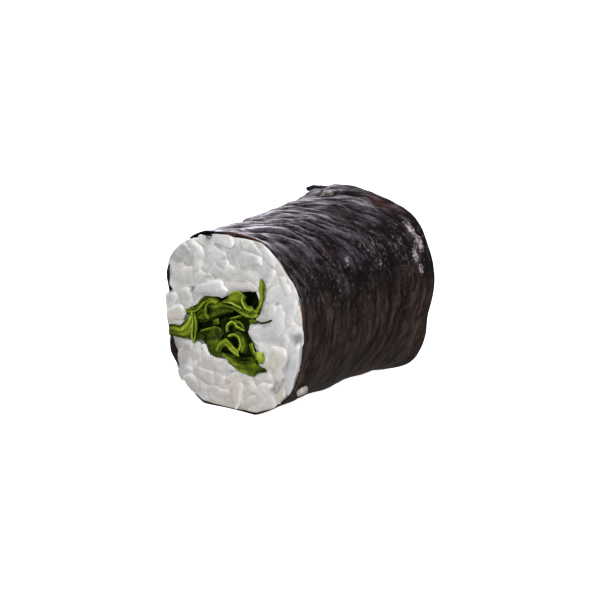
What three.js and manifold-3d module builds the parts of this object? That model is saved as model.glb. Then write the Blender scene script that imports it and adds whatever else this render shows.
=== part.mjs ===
// One piece of hosomaki, a thin sushi roll, lying on its side: a sheet of nori wound once round a
// cylinder of rice, with a bundle of arugula leaves running through the middle from cut to cut.
// Millimetres, +Z up. The roll's axis is along Y, the front cut faces -Y, and the origin is on the
// table under the middle of the roll.

import * as THREE from "three";
import { mergeVertices } from "three/addons/utils/BufferGeometryUtils.js";
import Module from "manifold-3d";

const wasm = await Module();
wasm.setup();

const { degToRad, lerp, smoothstep } = THREE.MathUtils;

// The roll: a rounded square in section, wider at the back, drawn in halfway along
const ROLL_LENGTH = 31;
const FRONT_WIDTH = 26;
const FRONT_HEIGHT = 28;
const BACK_WIDTH = 29;
const BACK_HEIGHT = 29.2;
const SQUARENESS = 2.55; // exponent of the superellipse that the section follows
const WAIST = 0.055; // share of its radius that the roll loses halfway along
const FOOT_DEPTH = 0.55; // how far the round underside is pressed flat on the table
const SLUMP = 0.35; // how far the front cut sags towards a rounded triangle
const SLUMP_ANGLE = degToRad(108); // of the triangle's first corner
const LUMP_HEIGHT = 0.16; // of the grains felt through the sheet

// The nori sheet, wound from an inner edge to an outer edge that laps over it near the top
const NORI_THICKNESS = 0.4;
const NORI_LAYER_GAP = 0.15;
const NORI_STEPS_ROUND = 60;
const NORI_STEPS_ALONG = 8;
const SEAM_ANGLE = degToRad(118); // of the outer edge, from +X towards +Z
const SEAM_OVERLAP = degToRad(30);
const CLIMB_ANGLE = degToRad(24); // over which the sheet climbs onto its own inner edge
const FLAP_LENGTH = 6; // of the loose corner, along the seam from the back cut
const FLAP_ANGLE = degToRad(16); // of the loose corner, round the roll from the seam
const FLAP_LIFT = 0.9;

// The rice: a core with whole grains at both cuts
const CLEARANCE = 0.3; // left between one piece and the next
const RICE_RECESS = 0.8; // of the core's ends inside the nori's rims
const RICE_PROUD = 1.4; // of the foremost grains outside the nori's rims
const RIM_INSET = 0.1; // of the outermost grains from the core's side
const CORE_STEPS_ROUND = 44;
const CORE_STEPS_ALONG = 5;
const GRAIN_LENGTH = 7.2;
const GRAIN_WIDTH = 2.9;
const GRAIN_SIDES = 5;
const GRAIN_RINGS = 4;
const GRAIN_LEAN = 0.35; // the most that a grain tips out of the cut, in radians
const GRAIN_DEPTHS = [0.2, 1.0]; // of the grains' middles behind the rim, least and most
const GRAINS_PER_CUT = 84;
const GRAIN_SEED = 7;

// The arugula: leaf folds that run through the roll, fused on a core that stops short of the cuts
const LEAF_THICKNESS = 0.5;
const LEAF_PROUD = 0.9;
const LEAF_STEPS_ALONG = 2;
const LEAF_WAVE = 0.3; // of a leaf from side to side as it runs through the roll
const ARC_STEPS = 2; // flats to each arc of a fold
const LEAF_CORE_RECESS = 3;
const LEAF_CORE_SHARE = 0.84; // of the bundle's outline
const ARM_SIDES = 20;

// The bundle's outline is a group of ellipses. Centres are from the roll's axis, angles in degrees.
const BUNDLE_ARMS = [
  { x: -8.2, z: -1.7, length: 10.0, width: 5.4, angle: 18 },
  { x: -4.2, z: 1.0, length: 8.8, width: 5.6, angle: 12 },
  { x: -0.8, z: 1.2, length: 8.4, width: 5.0, angle: 20 },
  { x: 2.9, z: 4.1, length: 9.8, width: 5.4, angle: 44 },
  { x: -4.0, z: -3.4, length: 5.2, width: 4.6, angle: 90 },
  { x: 0.4, z: -3.9, length: 12.2, width: 7.2, angle: -20 },
];

// Each fold as it shows at the front cut: where it starts, from the roll's axis, its heading in
// degrees, and a run of arcs, each a length and the degrees that it turns through.
const LEAF_FOLDS = {
  horn: { start: [5.0, 7.6], heading: -60, arcs: [[1.3, -32], [3, -14], [2.4, -70], [1.6, -24], [2.6, -8]] },
  cup: { start: [-1.1, 3.5], heading: 75, arcs: [[1.3, -35], [1.6, -85], [1, -50], [1.8, 75], [0.6, 20]] },
  crest: { start: [-9.8, 0.3], heading: 12, arcs: [[2.4, 30], [2.2, 4], [1.8, -50], [2.2, -22], [1, 40]] },
  hook: { start: [-3.6, 2.6], heading: 170, arcs: [[1.2, 25], [1.7, 85], [1.4, 70], [1.2, 20]] },
  tent: { start: [-12.2, -2.4], heading: -22, arcs: [[1.2, 45], [3.2, 38], [1.5, -140], [3.2, -24]] },
  pleat: { start: [-8.5, -1.2], heading: -80, arcs: [[2.6, -8]] },
  keel: { start: [-12.2, -3.5], heading: -6, arcs: [[3.4, 5], [3.4, -4]] },
  drape: {
    start: [-6.8, -2.2],
    heading: 20,
    arcs: [[3.6, 2], [1.5, -75], [1.6, -35], [1.5, -70], [1.6, -10]],
  },
  arch: { start: [-1.5, -1.4], heading: 95, arcs: [[1.1, -40], [1.3, -75], [1.6, -35], [1, 10]] },
  ring: {
    start: [-1.3, -2.4],
    heading: 50,
    arcs: [[1.2, -40], [1.6, -75], [1.9, -95], [1.2, -50], [1.1, 40], [1.5, 75]],
  },
  slip: { start: [-1.0, 0.5], heading: 20, arcs: [[2.6, -2], [1.6, -6]] },
  hem: { start: [-2.2, -4.6], heading: -5, arcs: [[1.6, -28], [2, 10], [2.2, 14]] },
  apron: { start: [-3.0, -5.2], heading: -26, arcs: [[2.2, -4], [2.2, 14], [2, 8], [1.6, 75], [1.3, -30]] },
  tongue: { start: [2.2, -1.7], heading: -45, arcs: [[1.2, -40], [1.6, 25], [1.4, 50]] },
};

// Grains that stand out at the front cut: centre from the roll's axis, length, and angle in degrees
const NOTED_GRAINS = [
  { x: 11.0, z: -5.4, length: 8.2, angle: 70 },
  { x: -7.6, z: 5.9, length: 7.6, angle: 4 },
  { x: -4.6, z: 4.5, length: 6.6, angle: 10 },
  { x: -9.8, z: 2.2, length: 4.2, angle: 100 },
  { x: -1.4, z: 12.2, length: 5.2, angle: -10 },
  { x: -6.6, z: 9.4, length: 5.2, angle: 85 },
  { x: -9.0, z: 9.6, length: 5.0, angle: 30 },
  { x: -10.8, z: -0.4, length: 4.0, angle: 20 },
  { x: 6.4, z: -0.9, length: 7.4, angle: 8 },
];
const NOTED_DEPTH = 0.2; // of those grains' middles behind the rim

// Repeatable random numbers from 0 to 1
function seededRandom(seed) {
  let state = seed;
  return () => {
    state = (state + 0x6d2b79f5) | 0;
    let mixed = Math.imul(state ^ (state >>> 15), 1 | state);
    mixed = (mixed + Math.imul(mixed ^ (mixed >>> 7), 61 | mixed)) ^ mixed;
    return ((mixed ^ (mixed >>> 14)) >>> 0) / 2 ** 32;
  };
}

// The roll's surface. A place along it is a share t, from 0 at the front cut to 1 at the back cut.
const axisHeight = (t) => lerp(FRONT_HEIGHT, BACK_HEIGHT, t) / 2 - FOOT_DEPTH;
const placeAlong = (t) => (t - 0.5) * ROLL_LENGTH;

function rollRadius(angle, t) {
  const drawnIn = 1 - WAIST * Math.sin(Math.PI * t);
  const halfWidth = (lerp(FRONT_WIDTH, BACK_WIDTH, t) / 2) * drawnIn;
  const halfHeight = (lerp(FRONT_HEIGHT, BACK_HEIGHT, t) / 2) * drawnIn;
  const across = Math.abs(Math.cos(angle) / halfWidth) ** SQUARENESS;
  const upward = Math.abs(Math.sin(angle) / halfHeight) ** SQUARENESS;
  const slump = SLUMP * (1 - t) * Math.cos(3 * (angle - SLUMP_ANGLE));
  const lump = LUMP_HEIGHT * Math.sin(5 * angle + 9 * t) * Math.cos(3 * angle - 14 * t);
  return (across + upward) ** (-1 / SQUARENESS) + slump + lump;
}

// A point of the surface, moved out along the radius by outset, and kept off the table
function rollPoint(angle, t, outset) {
  const radius = rollRadius(angle, t) + outset;
  const height = axisHeight(t) + radius * Math.sin(angle);
  return new THREE.Vector3(radius * Math.cos(angle), placeAlong(t), Math.max(height, -outset));
}

// Moves every corner of a geometry to where the function puts it
function reshape(geometry, move) {
  const corners = geometry.attributes.position;
  const corner = new THREE.Vector3();
  for (let i = 0; i < corners.count; i++) {
    corner.copy(move(corner.fromBufferAttribute(corners, i)));
    corners.setXYZ(i, corner.x, corner.y, corner.z);
  }
  return geometry;
}

function solidOf(geometry) {
  geometry.deleteAttribute("normal");
  geometry.deleteAttribute("uv");
  const merged = mergeVertices(geometry, 1e-4);
  const vertProperties = merged.attributes.position.array;
  const triVerts = new Uint32Array(merged.index.array);
  return new wasm.Manifold(new wasm.Mesh({ numProp: 3, vertProperties, triVerts }));
}

const joined = (solids) => solids.reduce((whole, solid) => whole.add(solid));

// The largest body of a solid, without any scrap that cutting left loose
function largestBody(solid) {
  return solid.decompose().reduce((most, body) => (body.volume() > most.volume() ? body : most));
}

function meshOf(name, solid, material) {
  const { vertProperties, triVerts } = solid.getMesh();
  const geometry = new THREE.BufferGeometry();
  geometry.setAttribute("position", new THREE.BufferAttribute(vertProperties, 3));
  geometry.setIndex(new THREE.BufferAttribute(triVerts, 1));
  geometry.computeVertexNormals();
  const mesh = new THREE.Mesh(geometry, material);
  mesh.name = name;
  return mesh;
}

// Nori: a flat sheet wound round the roll, its outer end climbing onto its inner one

function noriOutset(turned, t) {
  const wholeTurn = 2 * Math.PI;
  const layer = NORI_THICKNESS + NORI_LAYER_GAP;
  const climb = layer * smoothstep(turned, wholeTurn - CLIMB_ANGLE, wholeTurn - CLIMB_ANGLE / 6);
  const nearSeam = smoothstep(turned, wholeTurn + SEAM_OVERLAP - FLAP_ANGLE, wholeTurn + SEAM_OVERLAP);
  const nearCut = smoothstep(t, 1 - FLAP_LENGTH / ROLL_LENGTH, 1);
  return climb + FLAP_LIFT * nearSeam * nearCut;
}

function noriSolid() {
  const wound = 2 * Math.PI + SEAM_OVERLAP;
  const sheet = new THREE.BoxGeometry(
    wound, ROLL_LENGTH, NORI_THICKNESS, NORI_STEPS_ROUND, NORI_STEPS_ALONG, 1,
  );
  return solidOf(
    reshape(sheet, (corner) => {
      const turned = wound / 2 - corner.x;
      const t = corner.y / ROLL_LENGTH + 0.5;
      const belowFace = corner.z - NORI_THICKNESS / 2;
      const angle = SEAM_ANGLE - SEAM_OVERLAP + turned;
      return rollPoint(angle, t, noriOutset(turned, t) + belowFace);
    }),
  );
}

// A solid that fills the roll's section at a depth under its surface, between two shares of its length
function rollFill(depth, from, to) {
  const cylinder = new THREE.CylinderGeometry(1, 1, 1, CORE_STEPS_ROUND, CORE_STEPS_ALONG);
  return solidOf(
    reshape(cylinder, (corner) => {
      const t = lerp(from, to, corner.y + 0.5);
      const middle = new THREE.Vector3(0, placeAlong(t), axisHeight(t));
      const rim = rollPoint(Math.atan2(corner.z, corner.x), t, -depth);
      return middle.lerp(rim, Math.hypot(corner.x, corner.z));
    }),
  );
}

// Arugula: folded leaves, each a thin wavy sheet bent along its run of arcs

// The bundle's outline as a prism along the roll: its ellipses shrunk to a share and by a margin
function bundlePrism(length, share, margin) {
  const arms = BUNDLE_ARMS.map((arm) => {
    const ellipse = new THREE.CylinderGeometry(1, 1, length, ARM_SIDES);
    ellipse.scale((arm.length * share) / 2 - margin, 1, (arm.width * share) / 2 - margin);
    ellipse.rotateY(-degToRad(arm.angle));
    ellipse.translate(arm.x, 0, arm.z + axisHeight(0));
    return solidOf(ellipse);
  });
  return joined(arms);
}

function foldPath(fold) {
  let [x, z] = fold.start;
  let heading = degToRad(fold.heading);
  const path = [{ x, z, heading }];
  for (const [length, turn] of fold.arcs) {
    const halfTurn = degToRad(turn) / ARC_STEPS / 2;
    for (let step = 0; step < ARC_STEPS; step++) {
      heading += halfTurn;
      x += (Math.cos(heading) * length) / ARC_STEPS;
      z += (Math.sin(heading) * length) / ARC_STEPS;
      heading += halfTurn;
      path.push({ x, z, heading });
    }
  }
  return path;
}

function leafSolid(fold, index) {
  const path = foldPath(fold);
  const steps = path.length - 1;
  const length = ROLL_LENGTH + 2 * LEAF_PROUD;
  const sheet = new THREE.BoxGeometry(steps, length, LEAF_THICKNESS, steps, LEAF_STEPS_ALONG, 1);
  const waveAt = (y) => LEAF_WAVE * Math.sin((Math.PI * (y + length / 2)) / length + index);
  return solidOf(
    reshape(sheet, (corner) => {
      const place = path[Math.round(corner.x + steps / 2)];
      const offset = corner.z + waveAt(corner.y) - waveAt(-length / 2);
      return new THREE.Vector3(
        place.x - Math.sin(place.heading) * offset,
        corner.y,
        axisHeight(0) + place.z + Math.cos(place.heading) * offset,
      );
    }),
  );
}

function arugulaSolid() {
  const core = bundlePrism(ROLL_LENGTH - 2 * LEAF_CORE_RECESS, LEAF_CORE_SHARE, 0);
  const bundle = joined([core, ...Object.values(LEAF_FOLDS).map(leafSolid)]);
  const room = bundlePrism(2 * ROLL_LENGTH, 1, CLEARANCE);
  const insideNori = rollFill(NORI_THICKNESS + CLEARANCE, -0.2, 1.2);
  return largestBody(bundle.intersect(room).intersect(insideNori));
}

// Rice: a core inside the nori, with grains over both of its ends

// A place on a cut, measured along and across an ellipse or a grain
function alongAndAcross(x, z, piece) {
  const angle = degToRad(piece.angle);
  const along = (x - piece.x) * Math.cos(angle) + (z - piece.z) * Math.sin(angle);
  const across = (z - piece.z) * Math.cos(angle) - (x - piece.x) * Math.sin(angle);
  return [along, across];
}

const isInBundle = (x, z) =>
  BUNDLE_ARMS.some((arm) => {
    const [along, across] = alongAndAcross(x, z, arm);
    return Math.hypot(along / (arm.length / 2), across / (arm.width / 2)) < 1;
  });

const isOnNotedGrain = (x, z) =>
  NOTED_GRAINS.some((grain) => {
    const [along, across] = alongAndAcross(x, z, grain);
    return Math.abs(along) < grain.length / 2 && Math.abs(across) < GRAIN_WIDTH * 0.8;
  });

function grainSolid(x, y, z, length, angle, lean) {
  const grain = new THREE.SphereGeometry(1, GRAIN_SIDES, GRAIN_RINGS);
  grain.scale(GRAIN_WIDTH / 2, length / 2, GRAIN_WIDTH / 2);
  grain.rotateZ(-Math.PI / 2 + lean);
  grain.rotateY(-angle);
  grain.translate(x, y, z);
  return solidOf(grain);
}

// The grains of one cut, spread over it in a sunflower spiral round those that stand out
function grainsAtCut(t, random) {
  const inward = t === 0 ? 1 : -1;
  const noted = t === 0 ? NOTED_GRAINS : [];
  const height = axisHeight(t);
  const grains = noted.map((grain) =>
    grainSolid(
      grain.x,
      placeAlong(t) + inward * NOTED_DEPTH,
      grain.z + height,
      grain.length,
      degToRad(grain.angle),
      0,
    ),
  );
  const goldenAngle = Math.PI * (3 - Math.sqrt(5));
  for (let i = 0; i < GRAINS_PER_CUT; i++) {
    const around = i * goldenAngle;
    const reach = rollRadius(around, t) - NORI_THICKNESS - CLEARANCE - GRAIN_WIDTH / 2;
    const out = reach * Math.sqrt((i + 0.5) / GRAINS_PER_CUT);
    const x = out * Math.cos(around);
    const z = out * Math.sin(around);
    const length = GRAIN_LENGTH * lerp(0.85, 1.1, random());
    const angle = Math.PI * random();
    const lean = GRAIN_LEAN * lerp(-1, 1, random());
    const y = placeAlong(t) + inward * lerp(...GRAIN_DEPTHS, random());
    if (isInBundle(x, z) || (noted.length > 0 && isOnNotedGrain(x, z))) continue;
    grains.push(grainSolid(x, y, z + height, length, angle, lean));
  }
  return grains;
}

function riceSolid() {
  const random = seededRandom(GRAIN_SEED);
  const depth = NORI_THICKNESS + CLEARANCE;
  const recess = RICE_RECESS / ROLL_LENGTH;
  const proud = RICE_PROUD / ROLL_LENGTH;
  const core = rollFill(depth, recess, 1 - recess);
  const grains = joined([...grainsAtCut(0, random), ...grainsAtCut(1, random)]);
  const grainRoom = rollFill(depth + RIM_INSET, -proud, 1 + proud);
  const bundle = bundlePrism(2 * ROLL_LENGTH, 1, 0);
  return largestBody(grains.intersect(grainRoom).add(core).subtract(bundle));
}

const noriFinish = new THREE.MeshStandardMaterial({ color: 0x1c1719, roughness: 0.5, metalness: 0 });
const riceFinish = new THREE.MeshStandardMaterial({ color: 0xe4e1dc, roughness: 0.4, metalness: 0 });
const leafFinish = new THREE.MeshStandardMaterial({ color: 0x3f6a14, roughness: 0.5, metalness: 0 });

const hosomaki = new THREE.Group();
hosomaki.add(meshOf("nori", noriSolid(), noriFinish));
hosomaki.add(meshOf("rice", riceSolid(), riceFinish));
hosomaki.add(meshOf("arugula", arugulaSolid(), leafFinish));

export default hosomaki;
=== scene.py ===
# The looks of one piece of arugula hosomaki: its nori, rice and leaves, in the frame of the packed
# model. Shapes are worked out in millimetres, +Z up, with the roll's axis along Y and its front cut
# facing -Y. They become metres when a mesh is made.

import math
from collections import namedtuple

import bpy
import numpy as np
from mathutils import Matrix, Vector


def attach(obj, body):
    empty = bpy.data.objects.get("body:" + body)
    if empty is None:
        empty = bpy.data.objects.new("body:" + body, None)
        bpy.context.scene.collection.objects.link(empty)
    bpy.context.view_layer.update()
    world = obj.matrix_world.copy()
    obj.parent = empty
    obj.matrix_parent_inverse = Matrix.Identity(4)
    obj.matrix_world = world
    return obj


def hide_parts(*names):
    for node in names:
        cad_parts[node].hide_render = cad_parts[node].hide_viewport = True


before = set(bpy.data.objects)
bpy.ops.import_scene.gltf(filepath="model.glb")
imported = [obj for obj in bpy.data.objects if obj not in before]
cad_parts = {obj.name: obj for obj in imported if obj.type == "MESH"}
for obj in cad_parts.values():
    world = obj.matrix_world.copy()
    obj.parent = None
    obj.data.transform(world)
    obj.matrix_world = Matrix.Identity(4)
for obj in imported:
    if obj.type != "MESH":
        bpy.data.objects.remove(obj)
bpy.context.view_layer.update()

MM = 0.001
WHOLE_TURN = 2 * math.pi
TINY = 1e-9
NOISE_CELLS = 64  # after how many units noise repeats, where nothing else is said

# A soft-edged spot on the roll: its angle and half width in degrees, how much of it there is in its
# middle, the share along where it lies, its half length as a share, and degrees turned for each share
Spot = namedtuple("Spot", "angle half_width amount place half_length turn", defaults=[0.0, 1.0, 0.0])

# Noise on the sheet: its seed, how many cells go round the roll, the length of a cell, and its height
Waves = namedtuple("Waves", "seed cells length height", defaults=[1.0])

# The roll, as in the part's source
ROLL_LENGTH = 31.0
FRONT_WIDTH = 26.0
FRONT_HEIGHT = 28.0
BACK_WIDTH = 29.0
BACK_HEIGHT = 29.2
SQUARENESS = 2.55
WAIST = 0.055
FOOT_DEPTH = 0.55
SLUMP = 0.35
SLUMP_ANGLE = math.radians(108)
SLUMP_LOBES = 3
LUMP_HEIGHT = 0.16
# Where the soft roll swells or gives
SWELLS = (
    Spot(104, 20, -1.0, 0.0, 0.40),
    Spot(150, 16, 0.5, 0.0, 0.25),
    Spot(190, 14, -0.4, 0.0, 0.25),
    Spot(222, 22, -1.1, 0.0, 0.25),
    Spot(270, 25, 0.5, 0.0, 0.25),
    Spot(300, 25, 0.4, 0.4, 0.18),
    Spot(22, 30, 0.9, 1.0, 0.16),
    Spot(315, 18, 0.7, 1.0, 0.14),
    Spot(8, 16, 0.4, 1.0, 0.16),
    Spot(48, 14, 0.2, 1.0, 0.16),
    Spot(97, 14, 0.3, 1.0, 0.15),
    Spot(100, 14, 0.3, 0.55, 0.2),
)

# The nori sheet, wound from an inner edge to an outer edge that laps over it near the top
NORI_THICKNESS = 0.28
NORI_LAYER_STEP = 0.32
NORI_STEPS_ROUND = 280
NORI_STEPS_ALONG = 165
SEAM_ANGLE = math.radians(118)
SEAM_OVERLAP = math.radians(30)
SEAM_SKEW = math.radians(6)  # how much further round the outer edge lies at the front cut
CLIMB_START = WHOLE_TURN - math.radians(24)  # where the sheet climbs on its own inner edge
CLIMB_END = WHOLE_TURN - math.radians(4)
FLAP_PLACE = 0.95
FLAP_HALF_LENGTH = 0.035
FLAP_ANGLE = math.radians(10)
FLAP_LIFT = 0.5
FLAP_CURL = 0.5  # how much of its lift the flap loses again at its very edge
FLAP_CURL_ANGLE = FLAP_ANGLE / 3
FRONT_BULGE = 0.4  # how far the outer layer stands off at the front rim
FRONT_BULGE_ANGLE = math.radians(20)
FRONT_BULGE_LENGTH = 0.08
# Where rice pushes the front rim out
FRONT_RISES = (Spot(25, 12, 0.55, 0.0, 0.2), Spot(98, 13, 0.3, 0.0, 0.2))
# Creases that run on from the flap, pale ridges and dark folds beside them, whose darkness is painted shade:
# angles and shares along
PALE_CREASES = (((93.5, 0.818), (97, 0.905)), ((97.5, 0.787), (104, 0.905)))
DARK_CREASES = (((91.5, 0.825), (95, 0.91)), ((101, 0.80), (106.5, 0.905)))
CREASE_HEIGHT = 0.2
CREASE_HALF_WIDTH = 0.26
CREASE_ENDS = 0.45  # of a crease's width, at its ends
# The outer edge's corner, rolled up at the back: angle and share along where it starts and ends
ROLLED_START = (124, 0.987)
ROLLED_END = (106, 0.945)
ROLLED_LIFTS = (0.66, 0.2)
ROLLED_RADII = (0.52, 0.4)
ROLLED_TAPER = (0.12, 0.9)  # shares of a half turn, whose sine tapers both ends
ROLLED_UNEVEN = 0.2
ROLLED_LUMPS = (8, 3)  # cells of its noise along it, each way
ROLLED_TIP = 1.2  # steps that its first end reaches past its first ring
ROLLED_RIDGE = 0.2  # as high in the wrinkles as this, which sets its painted shade in the finish
ROLLED_SEED = 9
ROLLED_STEPS = 24
ROLLED_SIDES = 12

# The nori's wrinkles run round the roll, swept towards the back on the flank
MM_PER_DEGREE = 0.24
MM_PER_RADIAN = 13.5
FLOW_SWEEP = 7.0
FLOW_ANGLE = math.radians(15)
WRINKLE_HEIGHT = 0.24
WRINKLE_MIDDLE = 0.6  # how much of that height lies under the roll's surface
WRINKLE_BENDS = (Waves(3, 18, 5.0, 1.1), Waves(6, 36, 1.8, 0.4))  # what makes the wrinkles wander
FOLDS = Waves(4, 20, 1.8)
RIPPLES = Waves(5, 38, 0.9)
FINE_RIPPLES = Waves(7, 72, 0.504)
FOLD_SHARES = (0.25, 0.75)  # of the relief, on the flanks and on top
RIPPLE_SHARES = (0.65, 0.45)
FINE_SHARE = 0.35
LOW_WRINKLES = 0.5  # how high wrinkles are low on the flanks, beside those on top
RIM_WRINKLES = 0.4  # and at the rims, beside those further in
CRUMPLE_GAIN = 2.2
CRUMPLE_MIDDLE = 0.9
SHOULDER_WANDER = 0.14  # how far the edge of the purple top, partly painted reflection, wanders
WANDER_LENGTH = 2.2
WANDER_SEED = 10
SHEEN = 0.6
BACK_SHADE = 0.3
# How much painted shade the dark folds take from the ridge value in the finish
DARK_CREASE_SHADE = 1.5
RIM_WAVE = 0.3
RIM_WAVES_ROUND = 26
RIM_REACH = 0.12  # the share along over which a rim's unevenness fades
FRONT_RIM_SEED = 11
BACK_RIM_SEED = 12
# Where the rims are worn thin and brown, and where the front one stands out as a lip
RIM_BROWNS = (
    Spot(82, 14, 1.0, 0.0, 0.3),
    Spot(12, 9, 1.0, 0.0, 0.3),
    Spot(320, 14, 1.0, 1.0, 0.3),
    Spot(60, 16, 1.0, 1.0, 0.3),
)
RIM_LIPS = (Spot(154, 9, 0.6), Spot(207, 14, 0.85), Spot(250, 20, 0.35), Spot(286, 12, 0.3))
# Dried starch at the back, and painted glints on the shoulder and flank; all of them raise small bumps
STARCH_HEIGHT = 0.12
STARCH_SEED = 8
STARCH_GRIT = (40, 60)  # cells of its grit for each radian and along the roll
STARCH_AND_GLINT_SPOTS = (
    Spot(40, 6, 0.85, 0.930, 0.024),
    Spot(31.5, 6, 0.9, 0.943, 0.026),
    Spot(26, 6, 0.75, 0.90, 0.022),
    Spot(16.5, 4, 0.75, 0.917, 0.018),
    # Painted glints: small ones, then wide weak spreads of them
    Spot(37, 3.5, 0.55, 0.44, 0.035, 60),
    Spot(41, 3, 0.45, 0.675, 0.02),
    Spot(28, 3, 0.45, 0.665, 0.018),
    Spot(34.5, 3, 0.45, 0.797, 0.02),
    Spot(31, 2.5, 0.5, 0.278, 0.012),
    Spot(38, 16, 0.13, 0.65, 0.30),
    Spot(2, 26, 0.08, 0.40, 0.28),
)
# Where the sheet is thin and reddish
REDDISH_SPOTS = (
    Spot(66, 12, 1.0, 0.94, 0.035),
    Spot(45, 3, 1.0, 0.375, 0.02),
    Spot(308, 8, 1.0, 0.68, 0.10),
)

# The rice: a core under grains that the knife has pressed level
CLEARANCE = 0.12
DEEP_CLEARANCE = 0.25  # more of it for each millimetre of depth
RIM_CLEARANCE = 0.05  # and for what stands out of a cut
CUT_REACH = 13.0  # how far from the axis grains are tried
CROWN_MIDDLE = 1.0
CROWN_LEFT = 0.8
CROWN_RIGHT = 0.25
CROWN_TURN = 0.3  # radians that its left side is turned down
CROWN_ROUNDNESS = 4
LIP_DIP = 0.9  # how much of a lip's reach the rice stays back behind it
GRAIN_LENGTH = 7.0
SHORT_LENGTHS = (5.2, 3.6)  # tried after the long ones, in what room is left
GRAIN_WIDTH = 2.9
GRAIN_SIDES = 12
GRAIN_RINGS = 9
GRAIN_ENDS = 0.85  # exponents of a whole grain's ends and girth: 1 is an ellipsoid, less is fuller
GRAIN_GIRTH = 0.8
OUTLINE_SIDES = 32
OUTLINE_SQUARENESS = 0.8  # exponent of a grain's outline: 1 is an ellipse, less is fuller
OUTLINE_BEND = 0.3
OUTLINE_ROOM = 0.04  # from the leaves
OUTLINE_WAVES = ((3, 0.08), (5, 0.06))  # how many go round an outline, and how high
EDGE_DROPS = (0.3, 0.6)  # how far a grain's edge lies under its middle, least and most
EDGE_LIFT = 0.3  # how much of that drop lifts the whole grain
RIM_DROP = 0.6  # how much of a drop is left near the nori
EDGE_DENT = 0.4  # how far the rice falls short of the nori in places
EDGE_DENTS_ROUND = 26
EDGE_DENT_SEED = 77
EDGE_OVERLAP = 1.4  # how far an outline reaches past the line where two grains meet
MOST_REACH = 1.15  # but no further than this, beside the outline of a lone grain
FIT_ROUNDS = 9
MOST_TILT = 0.08
FILLER_LIFTS = (-0.3, -0.05)  # how far a grain that fills room stands out of its place, least and most
NOTED_LIFTS = (-0.15, 0.12)  # and a noted one
LOW_WARMTH = 0.4  # how much warmer in tone the grains near the table are, and where that begins and ends
LOW_PLACES = (-3, -11)
RIGHT_PAINTED_LIGHT = 0.3  # how much whiter those at the right, as painted light from that side
RIGHT_PLACES = (1, 9)
TOP_GREY = 0.25  # and how much greyer those at the top
TOP_PLACES = (4, 11)
RIM_SHARES = (0.82, 0.97)  # of the way out, where being near the nori begins and is full
RIM_BULGE = 0.3  # how far grains bulge over the rim in places
RIM_BULGES_ROUND = 22
RIM_BULGE_SEED = 78
# Where rice reaches past the front rim
PAST_RIM = (Spot(223, 6, 1.0), Spot(98, 8, 0.55), Spot(25, 14, 0.5))
TOP_SHARES = np.array([0.12, 0.3, 0.46, 0.6, 0.72, 0.82, 0.9, 0.96, 1.0])  # rings over a grain's top
SIDE_SHARES = np.array([0.99, 0.92, 0.75, 0.45, 0.15])  # and down its sides to its underside
SIDE_DROPS = np.array([0.25, 0.6, 1.0, 1.25, 1.35])
TOP_ROUNDNESS = 2.4  # exponent of how a grain's top falls to its edge
GRAIN_LUMP = 0.1
GRAIN_LUMP_LENGTH = 1.1
GRAIN_LUMP_START = 40  # the cell of its noise at the axis
GRAIN_LUMP_SEED = 200
GAP_SINK = 0.7  # how far a grain sinks in a noted gap
TRIES_PER_LENGTH = 500
GRAINS_BELOW = 60
BELOW_DEPTHS = (1.2, 1.8)
BELOW_ROOM = 0.05  # from the leaves
BELOW_EDGE = 0.8  # how pale those grains are with painted edge light, as if this near an edge
GRAIN_SWELL = 1.45  # how much wider a grain would be with no neighbours pressing on it
GRAIN_SPACING = 0.85  # of its width, from one grain's middle line to the next
MIDDLE_LINE_ROOM = 1.5
NORI_ROOM = 1.0  # from a new grain's middle line, and from one under the others
NORI_ROOM_BELOW = 1.6
LEAF_ROOM = 0.7
BEADS = np.array([-1.0, -0.5, 0.0, 0.5, 1.0])  # places along a grain's middle line
SETTLE_ROUNDS = 40
SETTLE_PUSH = 0.1
SETTLE_HOLD = 0.5
SETTLE_NORI_ROOM = 0.9
SETTLE_LEAF_ROOM = 0.8
TURN_DRAG = 0.5  # keeps short grains from spinning
CORE_DEPTH = 2.4
CORE_INSET = 1.0
CORE_HOLLOW = 3.0  # how much deeper the core is behind the leaves
CORE_SIDES = 120
CORE_CAP_SHARES = np.linspace(0.05, 1, 24)
CORE_PLACES = np.linspace(0.12, 0.88, 9)
CORE_TONE = (0.3, 0.3)
CORE_FLOOR = 0.6  # how far over the table the core, its caps and the grains stay
CAP_FLOOR = 0.4
GRAIN_FLOOR = 0.35
CRUMB_ANGLE = 322.5
CRUMB_PLACE = 0.056
CRUMB_SIZE = (1.8, 1.75, 1.1)
CRUMB_OUTSET = 0.25
CRUMB_LUMP = 0.18
CRUMB_LUMPS = 1.7  # cells of its lumps in half its length
CRUMB_LUMP_START = 9
CRUMB_SEED = 44
CRUMB_TONE = (0.7, 1.0)
CRUMB_SHADE = 0.05
CUT_SEEDS = ((0.0, 21), (1.0, 31))  # each cut's share along, and the seed of its grains

# The leaves
LEAF_THICKNESS = 0.18
LEAF_STEP = 0.19
LEAF_EDGE = 0.3  # how far in from its edge a leaf gets thinner
LEAF_EDGE_SHARE = 0.4  # of its thickness, at its very edge
LEAF_CRINKLES = ((0.9, 0.09, 70), (0.38, 0.045, 79))  # spacing, height and seed
LEAF_BEND = 0.35  # how far pleats wander, in cells of these lengths along and over
LEAF_BEND_LENGTHS = (1.6, 1.2)
LEAF_BEND_SEED = 50
LEAF_UNEVEN = 0.7  # how much their heights differ
LEAF_UNEVEN_LENGTHS = (1.3, 2.0)
LEAF_UNEVEN_SEED = 60
LEAF_RUFFLE = 0.08
LEAF_RUFFLE_LENGTH = 0.6
LEAF_RUFFLE_WIDTH = 0.4
LEAF_RUFFLE_SEED = 90
BACK_LEAF_SEED = 40
LIP_PLEATS = 0.4  # how high pleats are at the lip, beside those at the last line
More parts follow.
